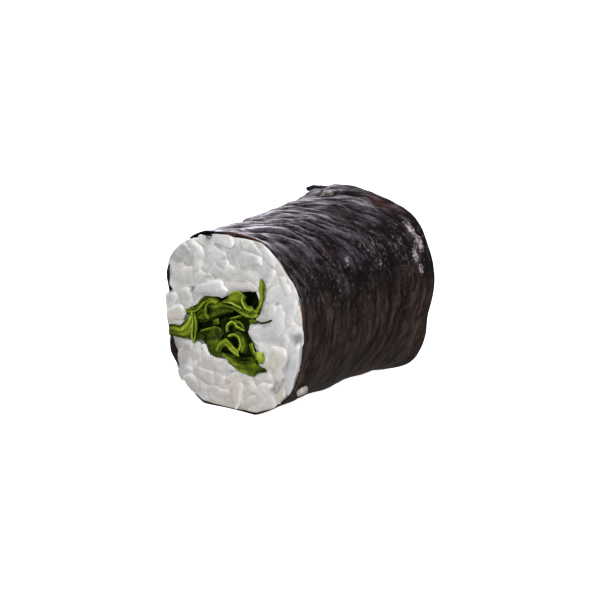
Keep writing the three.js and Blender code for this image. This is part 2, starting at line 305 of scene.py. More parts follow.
# A painted glow along a leaf's lip: its width and how strong it is
LIP_WIDTH = 0.2
LIP_GLOW = 0.25
LEAF_CORE_DEPTH = 3.0
LEAF_CORE_ROOM = 1.6
LEAF_CORE_SIDES = 180
LEAF_CORE_RINGS = 12
# The painted shade that darkens the packed leaves inside
LEAF_CORE_LIGHT = -0.25
CURL_REACH = 0.6  # how far from its lip to its hollow a curled leaf goes
CURL_PLEATS = (2, 0.04)
CURL_LIP_DEPTH = 0.1  # how much deeper than the lip its inner side lies
CURL_LIP_LIGHT = 0.5  # and how bright that is beside it, as a share of the lip's painted light
CURL_WAY = 0.4  # where a first line, darker with painted shade, lies on the way down
CURL_WAY_DEPTH = 0.6  # and how much of the depth it has
# The painted shade deep in a curl's hollow
CURL_DARK = -0.3

# The camera, as the photograph was taken
VIEW_AZIMUTH = math.radians(37)
VIEW_ELEVATION = math.radians(15)
VIEW_DISTANCE = 350.0
VIEW_LENS = 135.6
VIEW_AIM_RIGHT = 0.62
VIEW_AIM_HEIGHT = 13.75
SENSOR_WIDTH = 36.0
PHOTO_SIZE = 600  # pixels each way

# How far a place on the cut seems to move, across and up, for each millimetre it lies deeper
SEEN_ACROSS = math.tan(VIEW_AZIMUTH)
SEEN_UP = math.tan(VIEW_ELEVATION) / math.cos(VIEW_AZIMUTH)

# The stage, in metres
TABLE_HALF = 3.0
TABLE_DROP = 0.00005
LIGHT_AIM = (0, 0, 0.014)
SKY_STRENGTH = 0.38

Grain = namedtuple("Grain", "across up length width angle light warm lift noted", defaults=[0.0, True])

# Kinds of random grains: the least and most of their lengths and widths, as shares, and of their tones
GrainKind = namedtuple("GrainKind", "lengths widths lights warms")
FILLING = GrainKind((0.85, 1.1), (0.88, 1.05), (0.4, 1.0), (-0.5, 0.5))
BELOW = GrainKind((0.8, 1.1), (0.95, 1.1), (0.2, 0.6), (-0.2, 0.7))

# Grains that stand out at the front cut, from the roll's axis, with angles in degrees. Light goes from
# 0, grey, to 1, white, and warm from -1, bluish, to 1, tan. They lie on others that fill the room.
NOTED_GRAINS = [
    Grain(-1.6, 12.9, 4.6, 2.4, -8, 1.0, -0.4, 0.3),
    Grain(11.2, -5.2, 8.6, 2.7, 72, 0.9, -0.7, 0.4),
    Grain(-7.8, 5.9, 8.0, 3.2, 8, 0.75, 0.3),
    Grain(-4.4, 4.6, 7.0, 2.6, 12, 0.85, -0.4, 0.2),
    Grain(-9.6, 2.5, 3.8, 3.6, 90, 0.6, 0.2),
    Grain(-6.8, 9.2, 5.2, 2.2, 84, 1.0, 0.0, 0.2),
    Grain(-9.7, 9.4, 5.0, 3.2, 35, 0.35, -0.2),
    Grain(-10.9, -0.3, 3.6, 2.6, 20, 0.8, 0.6),
    Grain(6.2, -0.8, 8.2, 3.0, 8, 0.9, -0.1),
    Grain(3.2, 9.9, 5.0, 2.8, 20, 0.85, 0.1),
    Grain(9.4, 9.2, 4.5, 2.6, -50, 0.7, 0.7),
    Grain(6.4, 8.8, 4.5, 2.4, 70, 0.9, -0.4),
    Grain(8.0, -4.4, 5.0, 3.4, 60, 0.7, 0.7),
    Grain(10.8, 4.6, 5.5, 2.8, 80, 0.9, -0.4),
    Grain(8.4, 1.9, 5.5, 2.8, 85, 0.85, 0.2),
    Grain(5.6, -7.4, 4.6, 2.4, 15, 0.9, 0.1),
    Grain(5.6, -9.9, 4.6, 2.8, 55, 0.95, 0.1, 0.25),
    Grain(9.0, -8.6, 4.0, 2.2, 80, 0.35, 0.9),
    Grain(-5.8, -9.2, 5.5, 3.2, -20, 0.55, 0.1),
    Grain(-3.0, -11.4, 5.5, 2.6, -5, 0.5, 0.0),
    Grain(0.4, -10.6, 5.0, 2.6, 80, 0.75, 0.7, 0.1),
    Grain(1.4, -12.5, 5.5, 2.2, 0, 0.55, 0.6),
    Grain(-9.3, -6.6, 5.5, 3.2, 65, 0.35, 0.0),
    Grain(-4.8, -7.3, 6.0, 3.0, 5, 0.75, 0.5),
    Grain(0.8, -8.7, 5.5, 2.6, 10, 0.75, 0.3),
    Grain(-12.0, 1.6, 3.6, 2.4, 75, 0.6, 0.0),
    Grain(0.9, 11.0, 4.5, 2.8, 60, 0.55, -0.2),
    Grain(3.4, 12.0, 4.8, 2.6, -20, 0.75, 0.1),
    Grain(6.6, 11.2, 4.8, 2.6, -45, 0.7, 0.0),
    Grain(-4.4, 8.8, 5.0, 2.8, 60, 0.8, -0.1),
    Grain(0.2, 7.4, 6.5, 3.0, -5, 0.75, 0.2),
    Grain(-5.6, 11.6, 4.5, 2.0, 15, 0.65, 0.5),
    Grain(3.8, -11.4, 5.0, 2.6, 20, 0.6, 0.3),
    Grain(7.8, 5.6, 5.5, 2.8, 40, 0.8, 0.1),
    Grain(7.2, 3.2, 4.5, 2.4, 80, 0.9, 0.0),
    Grain(9.9, 7.0, 4.5, 2.6, -70, 0.75, 0.2),
    Grain(-7.4, -11.0, 4.5, 2.6, -30, 0.45, 0.0),
    Grain(-9.6, -9.2, 3.6, 2.6, 50, 0.45, -0.3),
]

# Gaps between grains at the front cut, sunk and painted dark with shade: across, up, half length, half
# width, angle in degrees, darkness
SHADED_GAPS = [
    (-12.5, 3.3, 0.9, 0.35, 5, 1.0),
    (-8.1, 3.9, 0.6, 0.25, 50, 0.8),
    (-6.0, 9.1, 0.8, 0.6, 0, 0.3),
    (12.0, -0.5, 1.3, 0.75, 25, 0.7),
    (7.8, -8.9, 0.9, 0.6, 50, 0.9),
    (9.6, -6.0, 2.6, 0.3, 72, 0.55),
    (9.9, -10.2, 0.9, 0.4, 35, 0.8),
    (8.1, 4.2, 0.25, 0.18, 0, 0.7),
    (-6.4, -5.4, 0.5, 0.16, 70, 0.7),
    (-4.2, 6.4, 1.2, 0.35, 10, 0.35),
    (-4.6, 12.8, 0.9, 0.6, 30, 1.0),
    (-1.9, 9.6, 0.5, 0.2, 35, 0.35),
    (0.6, 7.6, 0.7, 0.2, 10, 0.25),
]

# The outline of the leaves at the front cut, from the roll's axis
BUNDLE_OUTLINE = [
    (-12.4, -2.0), (-11.2, -2.1), (-10.0, -1.2), (-9.5, -0.3), (-9.7, 0.5), (-8.5, 1.0), (-7.2, 1.7),
    (-6.4, 2.8), (-5.6, 3.3), (-4.2, 3.5), (-2.6, 3.3), (-1.5, 3.9), (-0.9, 4.7), (0.0, 5.0),
    (1.5, 4.9), (2.2, 5.3), (3.2, 5.2), (4.5, 5.5), (4.9, 6.2), (4.7, 7.4), (5.2, 7.7), (6.1, 7.0),
    (6.0, 5.8), (5.4, 4.0), (5.0, 2.8), (5.2, 2.0), (4.6, 1.6), (4.4, 0.9), (3.2, 0.6), (2.5, 0.0),
    (2.3, -0.8), (2.6, -1.6), (3.4, -2.1), (3.7, -3.2), (4.2, -3.9), (5.6, -3.7), (5.7, -5.0),
    (5.5, -5.9), (4.4, -6.4), (3.8, -7.6), (2.6, -7.6), (0.8, -7.3), (-0.8, -6.6), (-1.2, -5.9),
    (-2.6, -6.0), (-4.0, -5.9), (-5.1, -5.7), (-5.5, -4.5), (-5.9, -4.1), (-7.5, -4.1), (-9.0, -4.0),
    (-12.3, -3.9),
]

LeafLine = namedtuple("LeafLine", "deep bright places")
LeafFold = namedtuple("LeafFold", "pleats lines lengthwise", defaults=[False])
LeafCurl = namedtuple("LeafCurl", "hollow near far bright width lip")

# Leaves that show a face, each a sheet laid through lines that are traced on the photograph: how deep
# behind the cut a line lies, how bright it is, its tone with painted light and shade, each one value or
# some spread along it, and its places in pixels. Pleats are a number and a height. They and the streaks
# cross the lines, or run lengthwise.
LEAF_FOLDS = {
    "tent_left": LeafFold((3, 0.08), [
        LeafLine(-1.3, (0.2, 0.4, 0.8), [(169, 324), (175, 324), (179, 325), (184, 321), (188, 317),
            (191, 312.5)]),
        LeafLine(-1.4, 0.05, [(169, 326), (175, 326), (180, 327), (184, 324), (188, 319.5), (191, 313.5)]),
        LeafLine(-1.8, (0.4, 1.1, 1.0), [(169, 328), (176, 328.5), (181, 330), (184.5, 327), (188.5, 322),
            (191.5, 315)]),
        LeafLine(-1.5, (0.1, 0.4, 0.5), [(169, 330.5), (176, 331.5), (182, 332), (186, 330),
            (189.5, 325.5), (192, 318)]),
        LeafLine(-1.6, (0.3, 0.7, 0.9), [(169, 332), (177, 333.5), (183, 334.5), (187, 333.5), (190, 330),
            (192, 324)]),
        LeafLine(-1.4, 0.1, [(169, 333.5), (177, 335), (183, 336), (188, 337), (191, 336), (192, 331)]),
        LeafLine(-1.2, (0.3, 0.6, 0.4), [(169, 334.5), (177, 336.5), (183, 337.5), (188, 338.5),
            (191, 339), (192.5, 341)]),
    ], True),
    "tent_fold": LeafFold((2, 0.03), [
        LeafLine(-1.6, 0.95, [(191, 312.5), (192, 319.5), (192, 327), (191.5, 335), (192.5, 341)]),
        LeafLine(-1.2, -0.1, [(193, 312), (193.5, 319.5), (194, 327), (193.5, 335), (193, 342)]),
        LeafLine(-1.6, 0.85, [(194.5, 314.5), (195.5, 320.5), (196, 327), (195, 335), (193.5, 343.5)]),
        LeafLine(-0.3, 0.0, [(196.5, 317), (198, 322), (198, 327), (197, 334), (195, 341)]),
    ], True),
    "wing": LeafFold((4, 0.05), [
        LeafLine(-0.9, (0.6, 0.3, 0.3), [(184, 308.5), (192, 308), (196, 307), (200.5, 300.5), (204, 298),
            (212, 296.5), (219.5, 300)]),
        LeafLine(-0.6, (0.4, 0.0, 0.0), [(185, 310), (192, 310), (197, 308.5), (201.5, 302), (205, 299.5),
            (212, 298), (219, 301)]),
        LeafLine(-0.9, (0.6, 0.8, 0.5), [(185.5, 311.5), (193, 311.5), (197, 310), (202.5, 303.5),
            (206, 301), (212, 299.5), (218.5, 302)]),
        LeafLine(-0.3, 0.0, [(187, 314), (194.5, 314), (198, 312.5), (203.5, 307), (207, 303.5),
            (212.5, 301.5), (217.5, 303.5)]),
    ], True),
    "crest_low": LeafFold((3, 0.10), [
        LeafLine(-0.7, (0.5, 0.4, 0.2), [(188, 315), (195.5, 315), (198, 312.5), (203.5, 308)]),
        LeafLine(-0.6, (0.2, 0.1, 0.3), [(194, 317), (197, 316.5), (200, 314), (205, 311)]),
        LeafLine(-0.7, (0.1, 0.5, 0.3), [(195, 318.5), (199, 318), (202, 316), (206.5, 315)]),
        LeafLine(0.1, 0.0, [(196, 320), (199, 320.5), (204, 320.5), (209.5, 320)]),
    ], True),
    "crest_body": LeafFold((3, 0.12), [
        LeafLine(-0.5, (0.0, 0.2, 0.0), [(207, 303), (213, 302), (220, 301), (226, 303), (232, 307.5)]),
        LeafLine(-1.0, (0.0, 0.65, 0.45, 0.2), [(208.5, 308), (214, 306.5), (221, 305), (227, 306.5),
            (232.5, 308.5)]),
        LeafLine(-0.8, (-0.2, 0.25, 0.1, 0.0), [(209, 313), (214, 311), (221, 308.5), (227, 308.5),
            (233, 309.5)]),
        LeafLine(-0.9, (0.2, 0.4, 0.3, 0.3), [(208, 317), (213, 315.5), (219, 313), (226, 311),
            (233, 310.5)]),
        LeafLine(-0.3, 0.0, [(208.5, 320), (213, 318.5), (219, 316), (226, 313.5), (233, 311.5)]),
        LeafLine(0.9, -0.3, [(211, 321.5), (219, 318), (228, 314.5), (233, 312.5)]),
    ], True),
    "under_crest": LeafFold((1, 0.04), [
        LeafLine(0.2, 0.3, [(197, 321.5), (206, 320.5), (211, 320)]),
        LeafLine(1.4, -0.3, [(198, 323.5), (207, 322), (211.5, 321.5)]),
    ]),
    "pale_tip": LeafFold((1, 0.04), [
        LeafLine(-0.4, (0.3, 0.6, 0.7), [(212.5, 321), (215.5, 319), (219, 318.5)]),
        LeafLine(-0.1, (0.4, 0.7), [(215, 324), (217.5, 324.5), (219, 324)]),
    ]),
    "drape": LeafFold((2, 0.06), [
        LeafLine((0.2, -0.4, -0.9, -0.5), (0.6, 0.85, 0.6, 0.0), [(199.5, 330.5), (204.5, 329),
            (210, 327.5), (216, 326.5), (219.5, 327.5), (224, 331)]),
        LeafLine((0.3, -0.6, -1.1, -0.5), (-0.1, 0.0, 0.25, 0.0), [(201, 332.5), (207, 331), (211, 330.5),
            (216, 329.5), (220, 330.5), (224, 333)]),
        LeafLine((-0.2, -1.0, -1.3, -0.7), (-0.1, 0.05, 0.4, 0.1, 0.0), [(204, 335.5), (208, 335),
            (213, 335), (218, 335), (223, 336)]),
        LeafLine((-0.4, -1.0, -1.1, -0.7), (0.05, 0.0, 0.1, 0.0), [(206, 338), (209, 338.5), (213, 338.5),
            (217.5, 338), (222, 338.5)]),
        LeafLine((-0.4, -1.2, -1.3, -0.7), (0.2, 0.2, 0.5, 0.3), [(206.5, 342), (209.5, 342), (213, 342),
            (217, 342), (220.5, 342)]),
        LeafLine((-0.5, -1.0, -1.1, -0.6), (0.25, 0.1, 0.25, 0.3), [(207, 346), (210, 346.5), (213, 346.5),
            (217, 346), (220.5, 345.5)]),
        LeafLine((-0.4, -0.8, -0.8, -0.4), (0.3, 0.2, 0.2, 0.4), [(208, 352.5), (211, 355.5), (216, 357),
            (222, 357)]),
    ]),
    "drape_left": LeafFold((2, 0.08), [
        LeafLine(0.3, 0.0, [(197, 331.5), (200.5, 331.5), (204.5, 332)]),
        LeafLine(-0.1, (0.4, 0.1), [(197, 336), (201, 335.5), (205, 337.5)]),
        LeafLine(-0.6, 0.1, [(196.5, 339), (200.5, 340), (206, 342)]),
    ], True),
    "arch_top": LeafFold((2, 0.05), [
        LeafLine(-0.4, (0.2, 0.6, 0.4), [(233.5, 321), (236.5, 320.5), (240, 322), (243, 325),
            (245.5, 330)]),
        LeafLine(-0.8, (0.5, 0.1, 0.3), [(233, 322), (236, 323.5), (239.5, 325.5), (242, 328),
            (244.5, 331.5)]),
    ], True),
    "ring_face": LeafFold((3, 0.06), [
        LeafLine(-1.1, 0.5, [(233.5, 333.5), (237.5, 335.5), (240, 339), (241, 343), (241, 347),
            (239.5, 350.5)]),
        LeafLine(-1.1, (0.1, 0.2, 0.6, 0.5), [(235, 332), (239, 333.5), (242, 337.5), (243.5, 343),
            (243, 348), (241, 352.5)]),
        LeafLine(-0.6, (0.0, 0.1, 0.3, 0.2), [(236.5, 331), (241, 332.5), (245, 337.5), (246.5, 343),
            (246, 348.5), (243, 354)]),
        LeafLine(0.6, -0.2, [(237.5, 330), (243, 332), (247, 337), (249, 343), (248.5, 349), (245, 355)]),
    ], True),
    "hem": LeafFold((2, 0.04), [
        LeafLine(-0.6, 0.1, [(216.5, 353), (216, 348.5), (218, 344), (222, 340.5), (226, 338.5),
            (230, 342), (234.5, 348), (239, 353)]),
        LeafLine(-1.4, (0.6, 0.9, 0.7, 0.9), [(217.5, 352), (217.5, 348.5), (219, 345.5), (222.5, 342),
            (226, 340), (229.5, 343), (233.5, 348), (238.5, 353)]),
        LeafLine(-1.4, (0.2, 0.3, 0.5, 0.3), [(219, 352), (219, 349), (220, 347), (223, 344),
            (226.5, 342.5), (229.5, 345.5), (233, 349.5), (238.5, 354)]),
        LeafLine(-1.5, (0.2, 0.5, 0.9, 0.8), [(220, 352), (220.5, 349.5), (221.5, 347.5), (223.5, 345.5),
            (226.5, 345.5), (229.5, 348), (233.5, 351.5), (239, 355)]),
        LeafLine(-0.2, -0.2, [(221.5, 352), (222, 350.5), (223, 348.5), (224.5, 347.5), (226.5, 347.5),
            (229.5, 350), (233.5, 353), (238.5, 356)]),
    ], True),
    "apron": LeafFold((4, 0.10), [
        LeafLine((-0.8, 0.3, 0.6, 0.6), (0.5, 0.0, -0.2, -0.2), [(221.5, 353), (231.5, 355), (241, 355.5),
            (251.5, 356), (256, 360), (263, 365)]),
        LeafLine((-1.2, -0.5, -0.2, -0.2), (0.7, 0.3, -0.2, 0.3, 0.1), [(222.5, 355), (228, 357),
            (233, 358.5), (242, 359), (252.5, 359.5), (257, 364), (264, 367)]),
        LeafLine((-1.3, -0.9, -0.8, -0.8), (0.7, 0.3, -0.1, 0.6, 0.0), [(225, 357), (230, 359),
            (235, 361.5), (244, 363), (253, 363.5), (257, 366.5), (265, 369)]),
        LeafLine(-1.2, (0.5, 0.7, 0.3, 0.3, 0.0), [(227, 359), (231, 361.5), (236, 364.5), (244, 367.5),
            (253, 368.5), (257, 369), (266, 370)]),
        LeafLine(-1.1, (0.3, 0.4, 0.6, 0.1, 0.0), [(228, 360.5), (233, 365), (240, 369), (246, 371.5),
            (253, 373), (257, 371.5), (266, 371)]),
        LeafLine(-1.0, (0.6, 0.7, 0.8, 0.6, 0.0), [(228.5, 361.5), (233.5, 367), (240, 371), (246, 374),
            (253, 376.5), (257, 373.5), (267, 372)]),
    ], True),
    "tongue": LeafFold((1, 0.04), [
        LeafLine(-0.9, (0.5, 0.4, 0.1), [(249.5, 344), (250, 347.5), (251, 351), (253, 354.5), (255, 360)]),
        LeafLine(-1.1, (0.3, 0.4, 0.2), [(251, 343.2), (251.5, 347), (252.8, 350.5), (254.5, 354),
            (256, 360)]),
        LeafLine(-1.0, (1.0, 1.0, 0.5), [(252.5, 342.8), (253, 346.5), (254.2, 350), (256, 353.5),
            (257, 360)]),
    ], True),
    "side": LeafFold((2, 0.08), [
        LeafLine(0.7, -0.2, [(243, 333), (247, 340), (249, 348), (251, 355), (254, 361)]),
        LeafLine(0.1, (0.0, 0.2, 0.1), [(246, 333), (250, 340), (252, 348), (254, 355), (256.5, 361)]),
    ], True),
    "chip": LeafFold((1, 0.01), [
        LeafLine(-1.1, (0.8, 0.9), [(256, 352), (259.5, 352), (263.5, 352.5)]),
        LeafLine(-1.1, (0.8, 1.1, 0.9), [(256, 355.5), (260, 355.5), (264, 356)]),
        LeafLine(-1.1, (0.6, 1.0, 0.9), [(256.5, 359), (260, 359), (264, 360)]),
        LeafLine(-1.1, (0.1, 0.5, 0.5), [(257.5, 363), (260.5, 363.5), (263.5, 363.5)]),
    ]),
    "cup_wall": LeafFold((2, 0.07), [
        LeafLine(-0.6, (0.3, 0.8, 0.7), [(225, 300), (229, 296), (231, 292.5), (234, 291), (237.5, 291.5),
            (241.5, 293)]),
        LeafLine(-0.5, (0.2, 0.5, 0.5), [(224, 300.5), (229.5, 298), (231.5, 296), (234.5, 295),
            (238, 295), (241.5, 295.5)]),
        LeafLine(-0.8, (0.3, 0.8, 0.4), [(223, 301), (229, 300.5), (232, 300), (235, 299.5), (238, 300),
            (241, 300.5)]),
        LeafLine(-0.7, (0.1, 0.2, 0.1), [(222.5, 301.5), (229, 301.5), (232.5, 302.5), (236.5, 304.5),
            (240.5, 306)]),
        LeafLine(-1.1, (0.5, 1.0, 0.9), [(222, 302), (228.5, 302.5), (232.5, 304.5), (236.5, 307),
            (240.5, 308.5), (243.5, 310)]),
    ], True),
    "cup_front": LeafFold((3, 0.05), [
        LeafLine(-1.1, 0.4, [(234, 306), (240.5, 308.5), (244.5, 309), (248, 311), (251.5, 311),
            (255, 310), (257.5, 306.5)]),
        LeafLine(-1.3, (0.1, 0.2, 0.3), [(232, 306), (239, 309.5), (244.5, 312), (248, 313.5),
            (252, 313.5), (255.5, 312.5), (258.5, 310.5)]),
        LeafLine(-1.3, (0.6, 0.9, 0.9), [(230.5, 306), (237.5, 310), (244.5, 314.5), (248.5, 315.5),
            (252.5, 316), (256, 315.5), (259, 313.5)]),
        LeafLine(-0.3, -0.1, [(231, 307.5), (238, 312), (245, 315.5), (248.5, 317), (252.5, 317),
            (256, 317), (259.5, 315.5)]),
    ], True),
    "horn": LeafFold((3, 0.05), [
        LeafLine(-1.2, (0.6, 0.9, 0.9), [(260.5, 279), (259.5, 282.5), (259, 287), (259.5, 292),
            (260, 297), (259.5, 301.5), (256.5, 309.5), (254, 311.5)]),
        LeafLine(-1.5, (0.7, 0.8, 0.5), [(261, 279), (261.5, 282.5), (262, 287.5), (262, 292.5),
            (262, 297.5), (261.5, 302.5), (258.5, 310.5), (257, 314)]),
        LeafLine(-1.4, (0.4, 0.2, 0.1), [(261.3, 279.2), (263, 283), (264, 287.5), (263.5, 292.5),
            (263.5, 298), (262.5, 303), (260, 311), (258.5, 314.5)]),
        LeafLine(-1.3, (0.5, 0.6, 0.4), [(261.5, 279.5), (264.5, 283), (265.5, 287.5), (265, 293),
            (264.5, 298.5), (263, 303), (261, 311), (260, 315)]),
    ], True),
    "slip": LeafFold((1, 0.04), [
        LeafLine(-0.6, 0.65, [(230, 318), (234.5, 316.5), (237.5, 316), (241.5, 315.5)]),
        LeafLine(-0.4, 0.2, [(231, 319.5), (234.5, 318.5), (238, 318), (241.5, 317.5)]),
        LeafLine(0.8, -0.3, [(231.5, 320.5), (235, 320), (238.5, 319.5), (242, 319)]),
    ], True),
    "olive_patch": LeafFold((1, 0.04), [
        LeafLine(-1.0, 0.5, [(249, 320), (254, 319.5), (257.5, 321)]),
        LeafLine(-0.9, 0.3, [(250.5, 324), (254.5, 324.5), (257, 324)]),
    ]),
    "back_cup": LeafFold((3, 0.15), [
        LeafLine(1.5, -0.15, [(226, 298), (240, 290), (252, 288), (262, 285)]),
        LeafLine(2.4, -0.3, [(228, 304), (242, 300), (254, 298), (262, 296)]),
        LeafLine(1.6, -0.15, [(232, 310), (246, 312), (258, 308)]),
    ]),
    "back_upper": LeafFold((5, 0.25), [
        LeafLine(0.3, -0.05, [(186, 312), (200, 303), (212, 299), (224, 301), (232, 308)]),
        LeafLine(1.1, -0.1, [(196, 318), (210, 316), (222, 314), (232, 312)]),
        LeafLine(1.6, -0.25, [(198, 329), (210, 326), (219, 324), (230, 318)]),
    ]),
    "back_middle": LeafFold((6, 0.25), [
        LeafLine(0.8, -0.1, [(196, 330), (210, 325), (228, 317), (245, 316), (258, 315)]),
        LeafLine(0.8, -0.1, [(197, 338), (214, 333), (230, 327), (245, 322), (257, 320)]),
        LeafLine(0.5, 0.0, [(206, 345), (218, 343), (232, 336), (246, 334), (250, 326)]),
    ]),
    "back_low": LeafFold((5, 0.25), [
        LeafLine(0.8, -0.1, [(210, 345), (225, 338), (240, 332), (250, 336), (256, 344)]),
        LeafLine(1.2, -0.15, [(214, 352), (226, 350), (240, 350), (256, 353)]),
        LeafLine(0.6, 0.0, [(226, 358), (238, 362), (250, 365), (262, 365)]),
    ]),
}

# Leaves that curl from a lip into a hollow: the pixel where the hollow lies, how deep the lip and the
# hollow are, how bright the lip is with painted light, its width as a share of the way, and its places in
# pixels.
LEAF_CURLS = {
    "hook": LeafCurl((212, 309), -1.2, 0.2, 0.75, 0.2, [
        (208.5, 319.5), (205.5, 315.5), (204.5, 311), (205, 306.5), (207, 303), (210.5, 301), (214, 301),
        (216.5, 303),
    ]),
    "arch": LeafCurl((233.5, 330.5), -1.0, 0.9, 0.9, 0.22, [
        (226.5, 332), (226, 328.5), (226.5, 325), (228.5, 322.5), (231.5, 321), (234, 322.5), (236.5, 325.5),
        (239, 327.5), (244.5, 331),
    ]),
    "ring": LeafCurl((235.5, 342), -1.2, 1.2, 1.0, 0.12, [
        (227.5, 336), (230.5, 334), (233.5, 333.5), (237, 335.5), (239.5, 339), (241, 343), (240.5, 347),
        (239, 350.5), (236.5, 351.5),
    ]),
    "cup_rim": LeafCurl((252, 300), -1.2, 2.4, 1.0, 0.12, [
        (241.5, 293), (242.5, 295.5), (241, 299.5), (241.5, 303), (243.5, 307), (246.5, 310), (250.5, 311),
        (253.5, 310),
    ]),
}

# A thin leaf stalk that lies on the rice: its places in pixels, how deep and how thick
STALK_LINE = [(256.5, 321.5), (260, 323), (264, 323), (268, 322), (271.5, 320.5)]
STALK_DEEP = -1.15
STALK_RADIUS = 0.16
STALK_TIP = 0.1
STALK_STEPS = 40
STALK_SIDES = 10
STALK_LIGHT = 0.05
STALK_STREAK = 0.02


# Numbers and noise

def lerp(low, high, share):
    return low + (high - low) * share


def smoothstep(value, low, high):
    share = np.clip((value - low) / (high - low), 0, 1)
    return share * share * (3 - 2 * share)


def smooth_noise(seed, around, along, repeat=NOISE_CELLS):
    """Smooth noise from -1 to 1, with a new value for each unit; around repeats after some units."""
    lattice = np.random.default_rng(seed).uniform(-1, 1, (repeat, NOISE_CELLS))
    column = np.floor(around).astype(int)
    row = np.floor(along).astype(int)
    past_column = smoothstep(around - column, 0, 1)
    past_row = smoothstep(along - row, 0, 1)

    def corner(right, up):
        return lattice[(column + right) % repeat, (row + up) % NOISE_CELLS]

    lower = lerp(corner(0, 0), corner(1, 0), past_column)
    upper = lerp(corner(0, 1), corner(1, 1), past_column)
    return lerp(lower, upper, past_row)


def noise_round(seed, angle, cells):
    """Smooth noise that changes only round the roll."""
    turn = angle / WHOLE_TURN
    return smooth_noise(seed, turn * cells, turn * 0 + 0.5, cells)


# The roll's surface. A place along it is a share t, from 0 at the front cut to 1 at the back cut.

def axis_height(t):
    return lerp(FRONT_HEIGHT, BACK_HEIGHT, t) / 2 - FOOT_DEPTH


def place_along(t):
    return (t - 0.5) * ROLL_LENGTH


def roll_radius(angle, t):
    drawn_in = 1 - WAIST * np.sin(np.pi * t)
    half_width = lerp(FRONT_WIDTH, BACK_WIDTH, t) / 2 * drawn_in
    half_height = lerp(FRONT_HEIGHT, BACK_HEIGHT, t) / 2 * drawn_in
    across = np.abs(np.cos(angle) / half_width) ** SQUARENESS
    upward = np.abs(np.sin(angle) / half_height) ** SQUARENESS
    slump = SLUMP * (1 - t) * np.cos(SLUMP_LOBES * (angle - SLUMP_ANGLE))
    lump = LUMP_HEIGHT * np.sin(5 * angle + 9 * t) * np.cos(3 * angle - 14 * t)
    return (across + upward) ** (-1 / SQUARENESS) + slump + lump + sum(spots(SWELLS, angle, t))


def spots(table, angle, t, power=2):
    """How much of each spot of a table lies at some places of the roll; a power of 4 keeps a spot fuller."""
    amounts = []
    for spot in table:
        away = degrees_away(angle, spot.angle) - spot.turn * (t - spot.place)
        along = (t - spot.place) / spot.half_length
        amounts.append(spot.amount * np.exp(-np.abs(away / spot.half_width) ** power - along ** 2))
    return amounts


def most_of(table, angle, t, power=2):
    """The strongest of a table's spots at each place."""
    return np.max(spots(table, angle, t, power), axis=0)


def degrees_away(angle, middle):
    """How far an angle is from another in degrees, the short way round."""
    return (np.degrees(angle) - middle + 180) % 360 - 180


def roll_points(angle, t, outset, floor):
    radius = roll_radius(angle, t) + outset
    height = axis_height(t) + radius * np.sin(angle)
    return np.stack([radius * np.cos(angle), place_along(t), np.maximum(height, floor)], axis=-1)


# Meshes

def grid_squares(index):
    """The faces between the rows of a grid of point numbers."""
    corners = [index[:-1, :-1], index[:-1, 1:], index[1:, 1:], index[1:, :-1]]
    return np.stack(corners, axis=-1).reshape(-1, 4)


def ring_walls(index):
    """The faces between rings of point numbers, all the way round."""
    return grid_squares(np.concatenate([index, index[:, :1]], axis=1))


def closed_sheet(front, back):
    """Points and faces of a thin closed solid between two grids of points."""
    rows, columns = front.shape[:2]
    count = rows * columns
    index = np.arange(count).reshape(rows, columns)
    square = grid_squares(index)
    border = np.concatenate([index[0, :-1], index[:-1, -1], index[-1, :0:-1], index[:0:-1, 0]])
    following = np.roll(border, -1)
    edge = np.stack([following, border, border + count, following + count], axis=-1)
    faces = np.concatenate([square, square[:, ::-1] + count, edge])
    return np.concatenate([front.reshape(-1, 3), back.reshape(-1, 3)]), faces.tolist()


def closed_tube(rings, start, end):
    """Points and faces of a closed solid of rings, with a single point at each end."""
    count, sides = rings.shape[:2]
    index = np.arange(count * sides).reshape(count, sides) + 1
    last = count * sides + 1
    turned = np.roll(index, -1, axis=1)
    start_fan = [[0, b, a] for a, b in zip(index[0], turned[0])]
    end_fan = [[last, a, b] for a, b in zip(index[-1], turned[-1])]
    points = np.concatenate([[start], rings.reshape(-1, 3), [end]])
    return points, ring_walls(index).tolist() + start_fan + end_fan


def closed_pebble(rings):
    """Points and faces of a closed solid of long rings, closed by a strip over its middle line."""
    count, sides = rings.shape[:2]
    index = np.arange(count * sides).reshape(count, sides)
    faces = ring_walls(index).tolist()
    for ring, order in ((index[0], -1), (index[-1], 1)):
        for side in range(sides // 2):
            across = (sides - side - 1) % sides
            strip = [ring[side], ring[side + 1], ring[across], ring[(across + 1) % sides]]
            faces.append(list(dict.fromkeys(strip))[::order])
    return rings.reshape(-1, 3), faces


def facing_out(points, faces):
    """The faces of a closed solid, turned so that they face outwards."""
    fans = [(face[0], face[i], face[i + 1]) for face in faces for i in range(1, len(face) - 1)]
    first, second, third = points[np.array(fans).T]
    volume = (first * np.cross(second, third)).sum()
    return faces if volume > 0 else [face[::-1] for face in faces]


def joined(solids):
    """One list of points and faces from several closed solids, with all faces outwards."""
    points = []
    faces = []
    count = 0
    for solid_points, solid_faces in solids:
        points.append(solid_points)
        for face in facing_out(solid_points, solid_faces):
            faces.append([corner + count for corner in face])
        count += len(solid_points)
    return np.concatenate(points), faces


def gathered(parts, titles):
    """One list of points and faces from several parts, and the values that follow in them, by title."""
    solid_points, solid_faces, *values = zip(*parts)
    points, faces = joined(zip(solid_points, solid_faces))
    return points, faces, dict(zip(titles, map(np.concatenate, values)))


